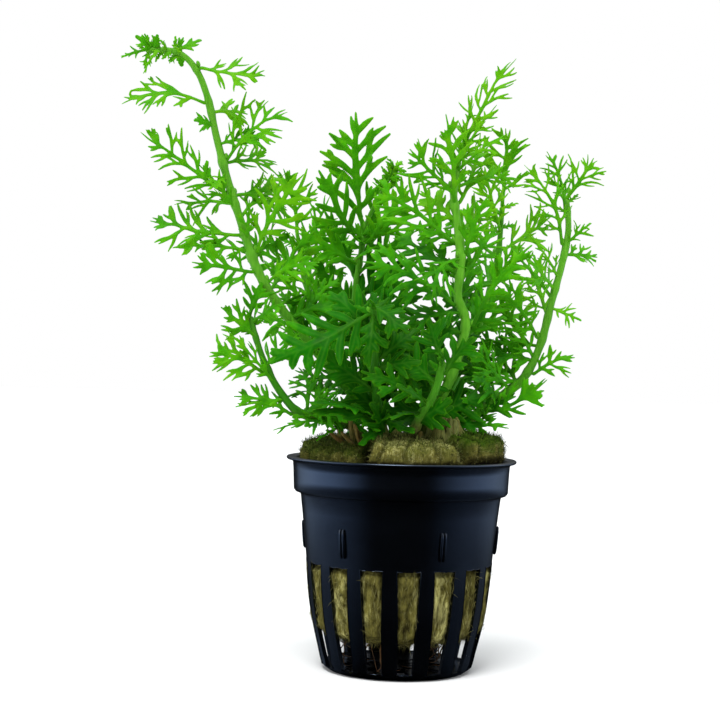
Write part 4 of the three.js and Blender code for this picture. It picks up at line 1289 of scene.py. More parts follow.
# How a fork runs, as shares of its length and of its angle: it goes so far before it bends, so
# far after, and by then has only so much of its angle left.
FORK_BEFORE = 0.45
FORK_AFTER = 0.6
FORK_ANGLE_LEFT = 0.4


def side_vein(parent, t, angle, length, halves, curl):
    """A vein that forks off another at a share of its length. It leaves by an angle and bends
    back a little towards its parent's way."""
    place = t * (len(parent) - 1)
    index = min(int(place), len(parent) - 2)
    here = parent[index] + (parent[index + 1] - parent[index]) * (place - index)
    ahead = unit(parent[index + 1, :2] - parent[index, :2])

    def way(turn):
        """The parent's way, turned by an angle in the leaf's plane."""
        cos, sin = math.cos(turn), math.sin(turn)
        return np.array([cos * ahead[0] - sin * ahead[1], sin * ahead[0] + cos * ahead[1]])

    start = here[:2]
    bend = start + way(angle) * length * FORK_BEFORE
    end = bend + way(angle * FORK_ANGLE_LEFT) * length * FORK_AFTER
    return vein(start, bend, end, halves, (here[3], here[3] + curl), FORK_STEPS)


# The forks that a lobe may have, from its root on: where each leaves it and how long it is, as
# shares of the lobe.
BROAD_FORKS = ((0.48, 0.36),)
MIDDLE_FORKS = ((0.38, 0.42), (0.64, 0.24))
SLENDER_FORKS = ((0.28, 0.62), (0.52, 0.42), (0.74, 0.24))
# Forks and lobes shorter than this stay plain.
SHORTEST_FORK = 1.1
SHORTEST_LOBE = 2.8
# A fork reaches sideways by no more than this share of the way to the next lobe.
FORK_REACH = 0.62
# Where the last fork leaves the midrib, as a share of its length.
LAST_FORK = 0.84
MIDRIB_STEPS = 29


def lobe_forks(breadth, chance):
    """The forks of a lobe: a slender one has one to three of them, a broad one has one or none.
    A chance from 0 to 1 decides."""
    if breadth > 0.8:
        return BROAD_FORKS[: int(chance < 0.45)]
    if breadth > 0.5:
        return MIDDLE_FORKS[: int(chance < 0.7) + int(chance < 0.2)]
    return SLENDER_FORKS[: 1 + int(chance < 0.55) + int(chance < 0.12)]


def midrib_vein(length, width, breadth, size, back, rng):
    """The midrib, in a slight wave from behind the root to the tip. It is slim as a stalk,
    widens into the blade's rib and ends in a point."""
    shares = np.array([-max(back, 0.3) / length, 0, 0.08, 0.16, 0.45, 0.7, 0.88, 1.0])
    wave = rng.uniform(-1, 1, 3) * 0.018 * length
    w = np.array([0, 0, 0, 0, wave[0], wave[1], 0.6 * wave[2], 0])
    rib = (0.34 + 0.95 * breadth**2) * size
    point = 0.1 + 0.4 * breadth * breadth
    half = np.array([0.52, 0.48, 0.44, 0.42, rib + 0.06, 0.88 * rib, 0.6 * rib, point])
    half[:4] *= min(1.0, 0.4 + width / 14)
    return np.column_stack([shares * length, w, half, np.zeros(len(w))])


def lobe_veins(midrib, notch, reach, side, pitch, halves, breadth, rng):
    """The vein of a lobe and those of its forks. The lobe leaves the midrib near its notch and
    leans forward to its reach; its forks leave it to one side and the other in turn. The more
    slender the lobe, the more it bends, leans and curls off the leaf's plane."""
    slim = 1 - breadth
    loose = 0.2 + 0.8 * slim
    start = np.array([notch + rng.uniform(-0.15, 0.2) * pitch, 0.0])
    start[1] = np.interp(start[0], midrib[:, 0], midrib[:, 1])
    end = np.array([notch + LOBE_LEAN * reach + 0.5 * pitch, side * reach])
    end[0] += (rng.uniform(-0.15, 0.25) + 0.45 * slim * rng.random()) * reach
    end[1] *= rng.uniform(0.85, 1.0 + 0.22 * slim)
    way = end - start
    span = np.linalg.norm(way)
    across = np.array([-way[1], way[0]]) * side
    bend = (start + end) / 2 - across * rng.uniform(-0.12 - 0.1 * slim, 0.26 + 0.16 * slim)
    curl = span * rng.uniform(-0.35, 0.6) * loose
    main = vein(start, bend, end, halves, (0.0, curl), LOBE_STEPS)
    veins = [main]
    chance = rng.random()
    turn = side if rng.random() < 0.7 else -side
    small = (0.74 + 0.1 * breadth) * halves
    for t, share in lobe_forks(breadth, chance):
        t += rng.uniform(-0.07, 0.07)
        angle = rng.uniform(0.52, 0.85)
        fork = span * share * rng.uniform(0.75, 1.25)
        aside = FORK_BEFORE * math.sin(angle) + FORK_AFTER * math.sin(FORK_ANGLE_LEFT * angle)
        fork = min(fork, FORK_REACH * pitch / aside)
        lift = fork * rng.uniform(-0.6, 0.7) * loose
        if fork > SHORTEST_FORK and span > SHORTEST_LOBE:
            veins.append(side_vein(main, t, turn * angle, fork, small, lift))
        turn = -turn
    return veins


def leaf_veins(length, width, pairs, breadth, back, rng):
    """All veins of a leaf. The midrib runs along its axis. On each side a lobe leaves it for
    every pair, leaning forward: slender ones fork into long points, broad ones are blunt
    fingers. One last fork leaves the midrib a little short of its tip."""
    petiole = PETIOLE_SHARE * length
    pitch = (length - petiole) / (pairs + 0.8)
    size = float(np.clip(0.45 + width / 20, 0.5, 1.15))
    slim = 1 - breadth
    lobe = min((0.26 + 0.63 * breadth) * size, 0.26 * pitch)
    halves = lobe * (slim * SLENDER_LOBE + breadth * BROAD_LOBE) + [0, 0, 0, 0, 0.02, 0.06]
    midrib = midrib_vein(length, width, breadth, size, back, rng)
    veins = [midrib]
    for side in (-1, 1):
        for i in range(pairs):
            notch = petiole + (i + (0 if side > 0 else LOBE_STAGGER)) * pitch
            reach = lobe_reach(width, i, pairs)
            veins += lobe_veins(midrib, notch, reach, side, pitch, halves, breadth, rng)
    fine, coarse = np.linspace(0, 1, MIDRIB_STEPS + 1), np.linspace(0, 1, len(midrib))
    long = np.column_stack([np.interp(fine, coarse, column) for column in midrib.T])
    way = rng.choice([-1, 1])
    index = int(np.searchsorted(long[:, 0], LAST_FORK * length)) - 1
    fork = length * (1 - LAST_FORK) * rng.uniform(0.8, 1.05) + 0.06 * width
    angle = way * rng.uniform(0.4, 0.7)
    lift = fork * rng.uniform(-0.4, 0.5) * slim
    small = (0.74 + 0.1 * breadth) * halves
    veins.append(side_vein(long, index / MIDRIB_STEPS, angle, fork, small, lift))
    return veins


# For each of the ways in which a cell's four corners can be inside: the part that is inside, as
# corners 0 to 3 and, where the outline crosses them, edges 4 to 7.
CELL_PARTS = {
    1: (0, 4, 7), 2: (1, 5, 4), 3: (0, 1, 5, 7), 4: (2, 6, 5), 5: (0, 4, 5, 2, 6, 7),
    6: (1, 2, 6, 4), 7: (0, 1, 2, 6, 7), 8: (3, 7, 6), 9: (0, 4, 6, 3),
    10: (1, 5, 6, 3, 7, 4), 11: (0, 1, 5, 6, 3), 12: (2, 3, 7, 5), 13: (0, 4, 5, 2, 3),
    14: (1, 2, 3, 7, 4), 15: (0, 1, 2, 3),
}


def cut_out(grid):
    """The part of a grid where its last channel is above 0, as points and triangles. Cells
    on the outline are cut where that channel, taken as linear along each edge, is 0."""
    field = grid[..., -1]
    rows, columns = field.shape
    inside = field > 0
    corner = np.arange(rows * columns).reshape(rows, columns)
    flat = corner.size + np.arange(rows * (columns - 1)).reshape(rows, columns - 1)
    steep = corner.size + flat.size + np.arange((rows - 1) * columns).reshape(rows - 1, columns)
    cells = np.stack(
        [
            corner[:-1, :-1], corner[:-1, 1:], corner[1:, 1:], corner[1:, :-1],
            flat[:-1], steep[:, 1:], flat[1:], steep[:, :-1],
        ],
        -1,
    )
    kind = inside[:-1, :-1] + 2 * inside[:-1, 1:] + 4 * inside[1:, 1:] + 8 * inside[1:, :-1]
    triangles = np.concatenate(
        [
            cells[kind == key][:, [part[0], part[k], part[k + 1]]]
            for key, part in CELL_PARTS.items()
            for k in range(1, len(part) - 1)
        ]
    )

    def crossing(low, high):
        """The point on each edge where the last channel is 0, or its first end if there is none."""
        first, second = low[..., -1:], high[..., -1:]
        fall = np.where(first == second, 1, first - second)
        share = np.where(first * second < 0, first / fall, 0)
        return (low + (high - low) * share).reshape(-1, grid.shape[-1])

    points = np.vstack(
        [
            grid.reshape(-1, grid.shape[-1]),
            crossing(grid[:, :-1], grid[:, 1:]),
            crossing(grid[:-1], grid[1:]),
        ]
    )
    used, where = np.unique(triangles, return_inverse=True)
    return points[used], where.reshape(-1, 3)


def grown_from(inside, row, column):
    """The part of a mask that hangs together with one cell: it grows until it stops."""
    reached = np.zeros_like(inside)
    reached[row, column] = True
    total = 0
    while total != reached.sum():
        total = reached.sum()
        for _ in range(6):
            wide = np.pad(reached, 1)
            near = np.zeros_like(reached)
            for i in range(3):
                for j in range(3):
                    near |= wide[i : i + reached.shape[0], j : j + reached.shape[1]]
            reached = near & inside
    return reached


# How tightly the blade's outline follows single veins where they meet, and their lifts.
BLADE_SHARPNESS = 8.0
LIFT_SHARPNESS = 2.5
# How wide the pale lines are along the veins and along the midrib, and how strong the former.
VEIN_LINE = 0.22
MIDRIB_LINE = 0.42
VEIN_STRENGTH = 0.5


def blade_field(veins, length, cell):
    """A grid over the flat leaf with channels s, w, lift, vein, midrib and depth. Depth is how
    far inside the outline a place lies: the soft maximum, over all veins, of the blade's half
    width there less the distance to the vein. Lift is the veins' lift, weighted alike."""
    rows = np.vstack(veins)
    low, high = rows[:, :2].min(0) - 1.6 * cell, rows[:, :2].max(0) + 1.6 * cell
    margin = rows[:, 2].max()
    s = np.arange(low[0] - margin, high[0] + margin, cell)
    w = np.arange(low[1] - margin, high[1] + margin, cell)
    grid_s, grid_w = np.meshgrid(s, w)
    depths, gaps, lifts = [], [], []
    for rows in veins:
        start, step = rows[:-1], np.diff(rows, axis=0)
        from_s = grid_s[..., None] - start[:, 0]
        from_w = grid_w[..., None] - start[:, 1]
        square = step[:, 0] ** 2 + step[:, 1] ** 2
        share = np.clip((from_s * step[:, 0] + from_w * step[:, 1]) / square, 0, 1)
        gap = np.hypot(from_s - share * step[:, 0], from_w - share * step[:, 1])
        depth = start[:, 2] + share * step[:, 2] - gap
        lift = start[:, 3] + share * step[:, 3]
        best = depth.argmax(-1)[..., None]
        for kept, values in ((depths, depth), (gaps, gap), (lifts, lift)):
            kept.append(np.take_along_axis(values, best, -1)[..., 0])
    depths, gaps, lifts = np.array(depths), np.array(gaps), np.array(lifts)
    highest = depths.max(0)
    total = np.exp(BLADE_SHARPNESS * (depths - highest)).sum(0)
    depth = highest + np.log(total) / BLADE_SHARPNESS
    blend = np.exp(LIFT_SHARPNESS * (depths - highest))
    lift = (blend * lifts).sum(0) / blend.sum(0)
    line = VEIN_STRENGTH * np.exp(-((gaps / VEIN_LINE) ** 2)).max(0)
    midrib = np.exp(-((gaps[0] / MIDRIB_LINE) ** 2))
    tiny = 0.12 * cell
    depth = np.where(np.abs(depth) < tiny, np.where(depth > 0, tiny, -tiny), depth)
    depth[[0, -1]] = -1
    depth[:, [0, -1]] = -1
    row, column = np.abs(w).argmin(), np.abs(s - max(0.5, 0.05 * length)).argmin()
    inside = grown_from(depth > 0, row, column)
    depth = np.where((depth > 0) & ~inside, -tiny, depth)
    return np.stack([grid_s, grid_w, lift, line, midrib, depth], -1)


def over_zero(value):
    """The value where it is well above 0, and 0 where it is well below: (v + (v^2 + 0.8^2)^0.5)
    over 2."""
    return 0.5 * (value + np.sqrt(value * value + 0.64))


def leaf_body(leaf, name, seed, axes=None):
    """A whole leaf as a closed blade. Its flat outline is cut from the field; the upper and the
    lower skin share the outline and swell towards the middle, most along the midrib. Then it
    is bent as the model's leaf is, lobes lift and curl, and the blade twists along its length.
    A large leaf comes with its axes, and behind its root the stalk turns into the stem. A young
    one comes without, and starts in its stem's middle."""
    rng = np.random.default_rng(seed)
    inner = axes is None
    centre, root, plain_axes, length = leaf_pose(leaf, name, inner)
    axes = plain_axes if inner else axes
    at, _, width, pairs = leaf[:4]
    sweep = leaf[5] if len(leaf) > 5 else 0.0
    low, high = STEMS[name][1]
    share = at / (len(STEMS[name][2]) - 1)
    stubby = 1.6 * max(width / length - 0.62, 0) if inner else 0
    breadth = float(np.clip(low + (high - low) * share + rng.uniform(-0.08, 0.08) + stubby, 0, 1))
    back = float(np.linalg.norm(centre - root))
    cell = float(np.clip(0.011 * length + 0.05 * breadth + 0.04, 0.12, 0.3))
    veins = leaf_veins(length, width, pairs, breadth, back, rng)
    values, triangles = cut_out(blade_field(veins, length, cell))
    s, w, lift, line, midrib, depth = values.T
    rim = depth < 1e-9
    swell = np.sqrt(np.clip(1 - (1 - np.clip(depth / 0.42, 0, 1)) ** 2, 0, 1))
    stalk = np.clip(1 - s / (0.55 * length), 0, 1)
    thick = (0.13 + 0.04 * breadth + midrib * (0.06 + 0.26 * stalk**1.3)) * swell
    run = np.clip(s, 0, length)
    arch = 4 * run * (length - run) / length
    fade = np.clip(s / (0.25 * length), 0, 1)
    rise = LEAF_BOW * arch - LEAF_SINK * w * w / (width / 2) + lift * fade
    rise = rise + 0.12 * fade * wobble(np.stack([s, w], -1), 5.0, seed + 7)
    twist = rng.uniform(-0.3, 0.3) * (1.1 - breadth) * (run / length) ** 1.5
    if back == 0:
        ahead, behind, to_stem = s, np.zeros_like(s), np.zeros(3)
    else:
        ahead, behind, to_stem = over_zero(s), over_zero(-s), (centre - root) / back

    def skin(offset):
        """The blade's points at an offset over its middle, bent, twisted and in their place."""
        y, z = w + sweep * arch, rise + offset
        across = y * np.cos(twist) - z * np.sin(twist)
        off = y * np.sin(twist) + z * np.cos(twist)
        spot = root + ahead[:, None] * axes[:, 0] + behind[:, None] * to_stem
        return spot + across[:, None] * axes[:, 1] + off[:, None] * axes[:, 2]

    def on_both(field):
        """A value for each point of the upper skin, and for those that the lower one adds."""
        return np.concatenate([field, field[~rim]])

    points = drawn_in(np.vstack([skin(0.8 * thick), skin(-1.2 * thick)[~rim]]), root)
    under = np.where(rim, np.arange(len(s)), len(s) + np.cumsum(~rim) - 1)
    faces = [np.vstack([triangles, under[triangles][:, ::-1]])]
    outer = 0.1 * np.clip(np.abs(w) / (width / 2), 0, 1)
    fields = {
        "tone_and_shade": leaf_tone_and_shade(points, breadth, rng) + on_both(outer),
        "vein": on_both(line * fade + 0.9 * midrib * stalk),
        "edge": on_both(1 - np.clip(depth / 0.3, 0, 1)),
    }
    return points, faces, {key: np.clip(field, 0, 1) for key, field in fields.items()}


# The crowd in the plant's heart, an ellipsoid: its middle and its radii. No small leaf in a
# stem's axil reaches out of it or below this height.
CROWD_MIDDLE = [1, 0, 76]
CROWD_RADII = [31, 27, 27]
CROWD_FLOOR = 58


def shoots(name):
    """Rows for the small leaves in a stem's axils, one for each 0.42 of the way from one of the
    stem's points to the next. Each points outwards and up from the stem, in a seeded direction;
    rows whose tip would leave the crowd are passed over."""
    rng = np.random.default_rng(7 + list(STEMS).index(name))
    points = np.array(STEMS[name][2], float)
    rows = []
    for at in np.arange(1.2, len(points) - 1.2, 0.42):
        centre = spline(points, at / (len(points) - 1))[0]
        turn = rng.uniform(0, 2 * math.pi)
        way = unit([math.cos(turn), math.sin(turn), rng.uniform(-0.1, 0.9)])
        size = rng.uniform(10, 16)
        tip = centre + way * size
        if np.linalg.norm((tip - CROWD_MIDDLE) / CROWD_RADII) > 1 or tip[2] < CROWD_FLOOR:
            continue
        face = BACK if way[1] > 0.3 else FRONT
        rows.append((float(at), tuple(tip), size * rng.uniform(0.65, 0.85), 3, face))
    return rows


# The crowded young leaves round each stem's tip: how many there are, where they begin, counted
# in the stem's points, and how long the longest are.
CROWNS = {
    "tall_left": (15, 10.6, 5.0), "low_left": (3, 7.2, 5.0), "back_centre": (8, 5.3, 7.5),
    "tall_right": (5, 8.4, 7.0), "right": (2, 8.4, 5.0), "back_left": (5, 4.4, 6.0),
    "back_right": (5, 4.4, 6.0), "front": (4, 4.3, 5.0), "front_left": (3, 4.4, 5.5),
    "crest": (20, 2.1, 3.6),
}


GOLDEN_ANGLE = 2.39996


def crown_rows(name):
    """Rows for the young leaves round a stem's tip. Each is turned about it by the golden angle
    from the one before, and half as wide as it is long."""
    count, first, size = CROWNS[name]
    rng = np.random.default_rng(70 + list(STEMS).index(name))
    points = np.array(STEMS[name][2], float)
    last = len(points) - 1
    rows = []
    for k in range(count):
        at = first + (last - first) * (k + 0.5) / count
        centre = spline(points, at / last)[0]
        ahead = stem_tangent(points, at / last)
        side = unit(np.cross(ahead, [0.0, 1.0, 0.2]))
        up = np.cross(side, ahead)
        turn = GOLDEN_ANGLE * k + rng.uniform(-0.4, 0.4)
        around = math.cos(turn) * side + math.sin(turn) * 0.7 * up
        way = unit(around + ahead * rng.uniform(0.2, 0.9))
        long = size * rng.uniform(0.6, 1.0)
        rows.append((float(at), tuple(centre + way * long), long * 0.55, 2 + k % 2, FRONT))
    return rows


BOX_MARGIN = 0.02


def drawn_in(points, root):
    """The points, drawn towards the root if they would reach past the model's box."""
    away = points - root
    lowest, highest = CAD_BOX[0] + BOX_MARGIN, CAD_BOX[1] - BOX_MARGIN
    with np.errstate(divide="ignore", invalid="ignore"):
        low = np.where(away < 0, (lowest - root) / away, np.inf)
        high = np.where(away > 0, (highest - root) / away, np.inf)
    return root + away * min(1.0, float(low.min()), float(high.min()))


def leaf_tone_and_shade(points, breadth, rng):
    """How light a leaf is: yellower towards the plant's top and sides, where leaves are young and
    painted light falls, with painted shade in its heart and, a little, at its back, a little
    lighter to the right and darker for broad leaves. Slender leaves differ more from one another
    than broad ones."""
    x, y, z = points.T
    away = np.hypot((x - 2) / 40, (z - 70) / 45)
    # Painted shade darkens the plant's heart and its back; painted light and youth lighten its top
    # and sides.
    tone_and_shade = 0.16 + 0.48 * smooth_step(0.15, 1.0, away) + 0.09 * smooth_step(90, 140, z)
    tone_and_shade += 0.08 * smooth_step(-5, 30, x) - 0.06 * smooth_step(4, 24, y)
    tone_and_shade = tone_and_shade - 0.4 * max(breadth - 0.55, 0)
    own = rng.choice([-0.14, -0.07, -0.02, 0.03, 0.1]) + rng.uniform(-0.03, 0.03)
    return tone_and_shade + own * (1 - 0.7 * breadth)


# Settings


def length_setting(name, description, millimetres):
    """A length that a user can change."""
    return bpy.props.FloatProperty(
        name=name, description=description, default=millimetres * MM, min=0, unit="LENGTH",
        precision=4,
    )


def colour_setting(name, description, rgb):
    """A colour that a user can change."""
    return bpy.props.FloatVectorProperty(
        name=name, description=description, default=(*rgb, 1.0), size=4, min=0, max=1,
        subtype="COLOR",
    )


def power_setting(name, description, watts):
    """A lamp's power that a user can change."""
    return bpy.props.FloatProperty(
        name=name, description=description, default=watts, min=0, unit="POWER"
    )


class SpritePotSettings(bpy.types.PropertyGroup):
    """The pot's sizes and its plastic"""

    rim_radius: length_setting("Rim radius", "Outer radius of the flange", float(POT_BOX[1, 0]))
    slot_count: bpy.props.IntProperty(
        name="Slots", description="Slots round the pot's wall", default=16, min=4, max=32
    )
    slot_turn: bpy.props.FloatProperty(
        name="Slot turn", description="Turn of the first slot from +X, in degrees", default=4.6
    )
    slot_head: length_setting("Slot head", "Width of a slot at its top", 5.4)
    slot_foot: length_setting("Slot foot", "Width of a slot at its bottom", 3.6)
    drain_width: length_setting("Drain width", "Width of a slot in the floor", 2.6)
    plastic: colour_setting("Plastic", "Colour of the moulded plastic", (0.0003, 0.0004, 0.0007))


class SpriteWoolSettings(bpy.types.PropertyGroup):
    """The wool's hairs and its colours"""

    crown_count: bpy.props.IntProperty(
        name="Crown fibres", description="Hairs above the rim", default=9000, min=0, max=18000
    )
    side_count: bpy.props.IntProperty(
        name="Side fibres", description="Hairs behind the slots", default=9000, min=0, max=18000
    )
    fringe_count: bpy.props.IntProperty(
        name="Fringe fibres", description="Hairs under the wool", default=2200, min=0, max=18000
    )
    wool: colour_setting("Wool", "Olive of the felt", (0.2, 0.18, 0.042))
    wool_light: colour_setting("Light wool", "Its palest streaks", (0.5, 0.47, 0.17))
    # The dark wool is both the felt's darkest streaks and the painted shade of its hollows.
    wool_dark_and_shade: colour_setting("Dark wool", "Its hollows", (0.015, 0.011, 0.002))
    algae: colour_setting("Algae", "The green growth on it", (0.036, 0.08, 0.003))
    root: colour_setting("Roots", "The brown roots", (0.13, 0.06, 0.015))


class SpritePlantSettings(bpy.types.PropertyGroup):
    """The colours of leaves and stalks"""

    leaf: colour_setting("Leaf", "Full-grown leaves", (0.043, 0.285, 0.0014))
    # The young leaf colour is also painted light at the plant's top and sides, and the deep leaf
    # colour also painted shade in its heart and back.
    leaf_young_and_lit: colour_setting("Young leaf", "Leaves in the light", (0.15, 0.43, 0.004))
    leaf_dark_and_shade: colour_setting("Deep leaf", "Leaves in the heart", (0.006, 0.13, 0.001))
    stem: colour_setting("Stem", "The stalks", (0.06, 0.27, 0.01))
    stem_light: colour_setting("Light stem", "Pale streaks and veins", (0.15, 0.44, 0.03))
    # The deep stem colour is painted shade for stalks in the heart of the plant.
    stem_painted_shade: colour_setting("Deep stem", "Stalks in the heart", (0.013, 0.14, 0.003))
    foot: colour_setting("Stem foot", "The stalks' beige feet", (0.2, 0.19, 0.06))
    dead: colour_setting("Dead stem", "Withered brown stalks", (0.17, 0.105, 0.03))


class SpriteStageSettings(bpy.types.PropertyGroup):
    """The floor and the lights"""

    floor: colour_setting("Floor", "The pale floor", (0.9, 0.9, 0.9))
    # The colour of the painted reflection that glossy sides see in the floor.
    painted_reflection: colour_setting("Cards", "What glossy sides mirror of the floor", (0.55, 0.72, 1.0))
    key: bpy.props.FloatProperty(
        name="Key light", description="Strength of the high front light", default=2.5, min=0
    )
    sides: power_setting("Side lights", "Power of the left light; the right has less", 0.95)
    top: power_setting("Top light", "Power of the light overhead", 2.5)


# Operators


class SPRITE_OT_pot(bpy.types.Operator):
    """Build the slotted net pot"""

    bl_idname = "sprite.pot"
    bl_label = "Net Pot"

    def execute(self, context):
        sizes = context.scene.sprite_pot
        shell = (*pot_shell(sizes), {})
        lugs = [
            (*lug_body(LUG_TURN + 360 / LUG_COUNT * i, aside), {})
            for i in range(LUG_COUNT)
            for aside in (-LUG_ASIDE, LUG_ASIDE)
        ]
        points, faces, _ = joined([shell, *lugs])
        plastic = plastic_material(sizes)
        pot = keep(new_piece("pot", points, faces, plastic), "pot_plastic", "net_pot")
        bevel = pot.modifiers.new("Edges", "BEVEL")
        bevel.width, bevel.segments = EDGE_ROUNDING * MM, 2
        bevel.limit_method, bevel.angle_limit = "ANGLE", SHARP_EDGE
        bevel.harden_normals = True
        return {"FINISHED"}


class SPRITE_OT_wool(bpy.types.Operator):
    """Build the rock wool, its fibres and the roots below it"""

    bl_idname = "sprite.wool"
    bl_label = "Rock Wool"

    def execute(self, context):
        sizes = context.scene.sprite_wool
        grid = wool_grid(context.scene.sprite_pot)
        points, faces, values = wool_body(grid)
        felt = wool_material(sizes)
        keep(new_piece("wool", points, faces, felt, values), "rock_wool", "rock_wool")
        hairs = fibre_material(sizes)
        for name, (points, faces, values) in (
            ("wool_crown_fibres", crown_fibres(grid, sizes.crown_count)),
            ("wool_side_fibres", side_fibres(grid, sizes.side_count)),
            ("wool_fringe_fibres", fringe_fibres(grid, sizes.fringe_count)),
        ):
            keep(new_piece(name, points, faces, hairs, values), "rock_wool")
        points, faces, _ = root_bodies()
        keep(new_piece("roots", points, faces, root_material(sizes)), "stem")
        return {"FINISHED"}


# Every leaf has a seed of its own: they start here, a step apart from one stem to the next.
LEAF_SEEDS = 100
LEAF_SEED_STEP = 20
YOUNG_SEEDS = 1000
YOUNG_SEED_STEP = 50


class SPRITE_OT_stems(bpy.types.Operator):
    """Build the nine stems and the young leaves that are one with them"""

    bl_idname = "sprite.stems"
    bl_label = "Stems"

    def execute(self, context):
        sizes = context.scene.sprite_plant
        skin, blade = stem_material(sizes), leaf_material(sizes)
        points, faces, values = old_stalks()
        keep(new_piece("old_stalks", points, faces, skin, values), "stem", "stem_tall_right")
        for order, name in enumerate(STEMS):
            node = f"stem_{PARENTS.get(name, name)}"
            points, faces, values = joined([stem_body(name), *bud_bodies(name)])
            keep(new_piece(f"stalk_{name}", points, faces, skin, values), "stem", node)
            rows = INNER_LEAVES.get(name, []) + LOOSE_LEAVES.get(name, [])
            rows = rows + shoots(name) + crown_rows(name)
            seed = YOUNG_SEEDS + YOUNG_SEED_STEP * order
            young = [leaf_body(leaf, name, seed + k) for k, leaf in enumerate(rows)]
            points, faces, values = joined(young)
            keep(new_piece(f"young_leaves_{name}", points, faces, blade, values), "leaf", node)
        return {"FINISHED"}


class SPRITE_OT_leaves(bpy.types.Operator):
    """Build the large leaves, each as its own piece"""

    bl_idname = "sprite.leaves"
    bl_label = "Leaves"

    def execute(self, context):
        made = bpy.data.materials.get("leaf_blade")
        blade = made or leaf_material(context.scene.sprite_plant)
        for order, (name, leaves) in enumerate(LEAVES.items()):
            for k, leaf in enumerate(leaves):
                node = f"leaf_{name}_{k + 1}"
                axes = found_axes(leaf, name, node)
                seed = LEAF_SEEDS + LEAF_SEED_STEP * order + k
                points, faces, values = leaf_body(leaf, name, seed, axes)
                keep(new_piece(f"blade_{name}_{k + 1}", points, faces, blade, values), "leaf", node)
        return {"FINISHED"}


def new_lamp(name, light, way):
    """A lamp whose light comes from the way (x, y, z)."""
    lamp = bpy.data.objects.new(name, light)
    flat = math.hypot(way[0], way[1])
    lamp.rotation_euler = (math.atan2(flat, way[2]), 0, math.atan2(way[0], -way[1]))
    bpy.context.scene.collection.objects.link(lamp)
    return lamp


def area_light(name, place, target, size, power):
    """A soft rectangular light that looks at a point; lengths in metres."""
    light = bpy.data.lights.new(name, "AREA")
    light.shape, light.size, light.size_y = "RECTANGLE", *size
    light.energy = power
    new_lamp(name, light, np.array(place, float) - target).location = place


def sun_light(name, source, spread, power):
    """A soft light from far away, from the way that `source` points, as wide as an angle."""
    light = bpy.data.lights.new(name, "SUN")
    light.angle, light.energy = spread, power
    new_lamp(name, light, source)


# The stage, in metres: half the floor's width, the point that the lights look at, their places
# and sizes, and the camera's place, lens and roll.
FLOOR_REACH = 3.0
LIT_POINT = (0, 0, 0.05)
KEY_FROM = (-0.16, -0.55, 1.0)
KEY_SPREAD = math.radians(26)
TOP_PLACE, TOP_SIZE = (0.05, 0.1, 1.0), (0.9, 0.9)
SIDE_DISTANCE, SIDE_HEIGHT, SIDE_SIZE = 0.55, 0.2, (0.62, 0.36)
# The right light's power as a share of the left one's.
RIGHT_SHARE = 0.85
EYE = (-0.0105, -0.4, 0.0736)
EYE_ROLL = math.radians(1.4)
LENS, SENSOR = 83.5, 36.0


def floor_paper(sizes):
    """Pale paper with a faint grain. Glossy sides mirror a painted reflection of it instead: bright
    patches at the left and the right, which start some way off, and black elsewhere."""
    shader = Shader("pale_floor")
    grain = shader.noise(scale=3.0, detail=2.0)
    seen = shader.mix(grain, colour(sizes.floor, 0.99), colour(sizes.floor))
    way = shader.node("ShaderNodeVectorMath", {0: shader.place}, operation="NORMALIZE")
    away = shader.node("ShaderNodeVectorMath", {0: shader.place}, "Value", operation="LENGTH")
    aside = shader.node("ShaderNodeSeparateXYZ", {0: way}, "X")
    # Painted reflection: bright for glossy rays at the left and the right, dim near the pot, black
    # in front and behind.
    left = shader.between(aside, (-1.0, -0.55), (0.72, 0.0))
    right = shader.between(aside, (0.5, 1.0), (0.0, 0.5))
    far = shader.between(away, (0.14, 0.3), (0.15, 1.5))
    painted_reflection = shader.math("MULTIPLY", shader.math("ADD", left, right), far)
    painted_reflection_tint = shader.mix(painted_reflection, (0.0, 0.0, 0.0, 1.0), colour(sizes.painted_reflection))
    glossy = shader.node("ShaderNodeLightPath", {}, "Is Glossy Ray")
    tint = shader.mix(glossy, seen, painted_reflection_tint)
    return shader.finish(Base_Color=tint, Roughness=0.9, Specular_IOR_Level=0.1)


class SPRITE_OT_stage(bpy.types.Operator):
    """Set up the floor, the studio lights and the camera"""

    bl_idname = "sprite.stage"
    bl_label = "Stage"

    def execute(self, context):
        scene = context.scene
        sizes = scene.sprite_stage
        corners = np.array([[-1, -1, 0], [1, -1, 0], [1, 1, 0], [-1, 1, 0]]) * FLOOR_REACH / MM
        face = [np.array([[0, 1, 2, 3]])]
        new_piece("floor", corners, face, floor_paper(sizes))

        left, right = ((x, 0, SIDE_HEIGHT) for x in (-SIDE_DISTANCE, SIDE_DISTANCE))
        sun_light("key_light", KEY_FROM, KEY_SPREAD, sizes.key)
        area_light("top_light", TOP_PLACE, LIT_POINT, TOP_SIZE, sizes.top)
        area_light("left_light", left, LIT_POINT, SIDE_SIZE, sizes.sides)
        area_light("right_light", right, LIT_POINT, SIDE_SIZE, sizes.sides * RIGHT_SHARE)
        world_light(scene)

        camera = bpy.data.cameras.new("camera")
        camera.lens, camera.sensor_width = LENS, SENSOR
        camera.clip_start, camera.clip_end = 0.01, 20.0
        eye = bpy.data.objects.new("camera", camera)
        eye.location = EYE
        eye.rotation_euler = (math.pi / 2, -EYE_ROLL, 0)
        scene.collection.objects.link(eye)
        scene.camera = eye
        scene.view_settings.view_transform = "Standard"
        return {"FINISHED"}


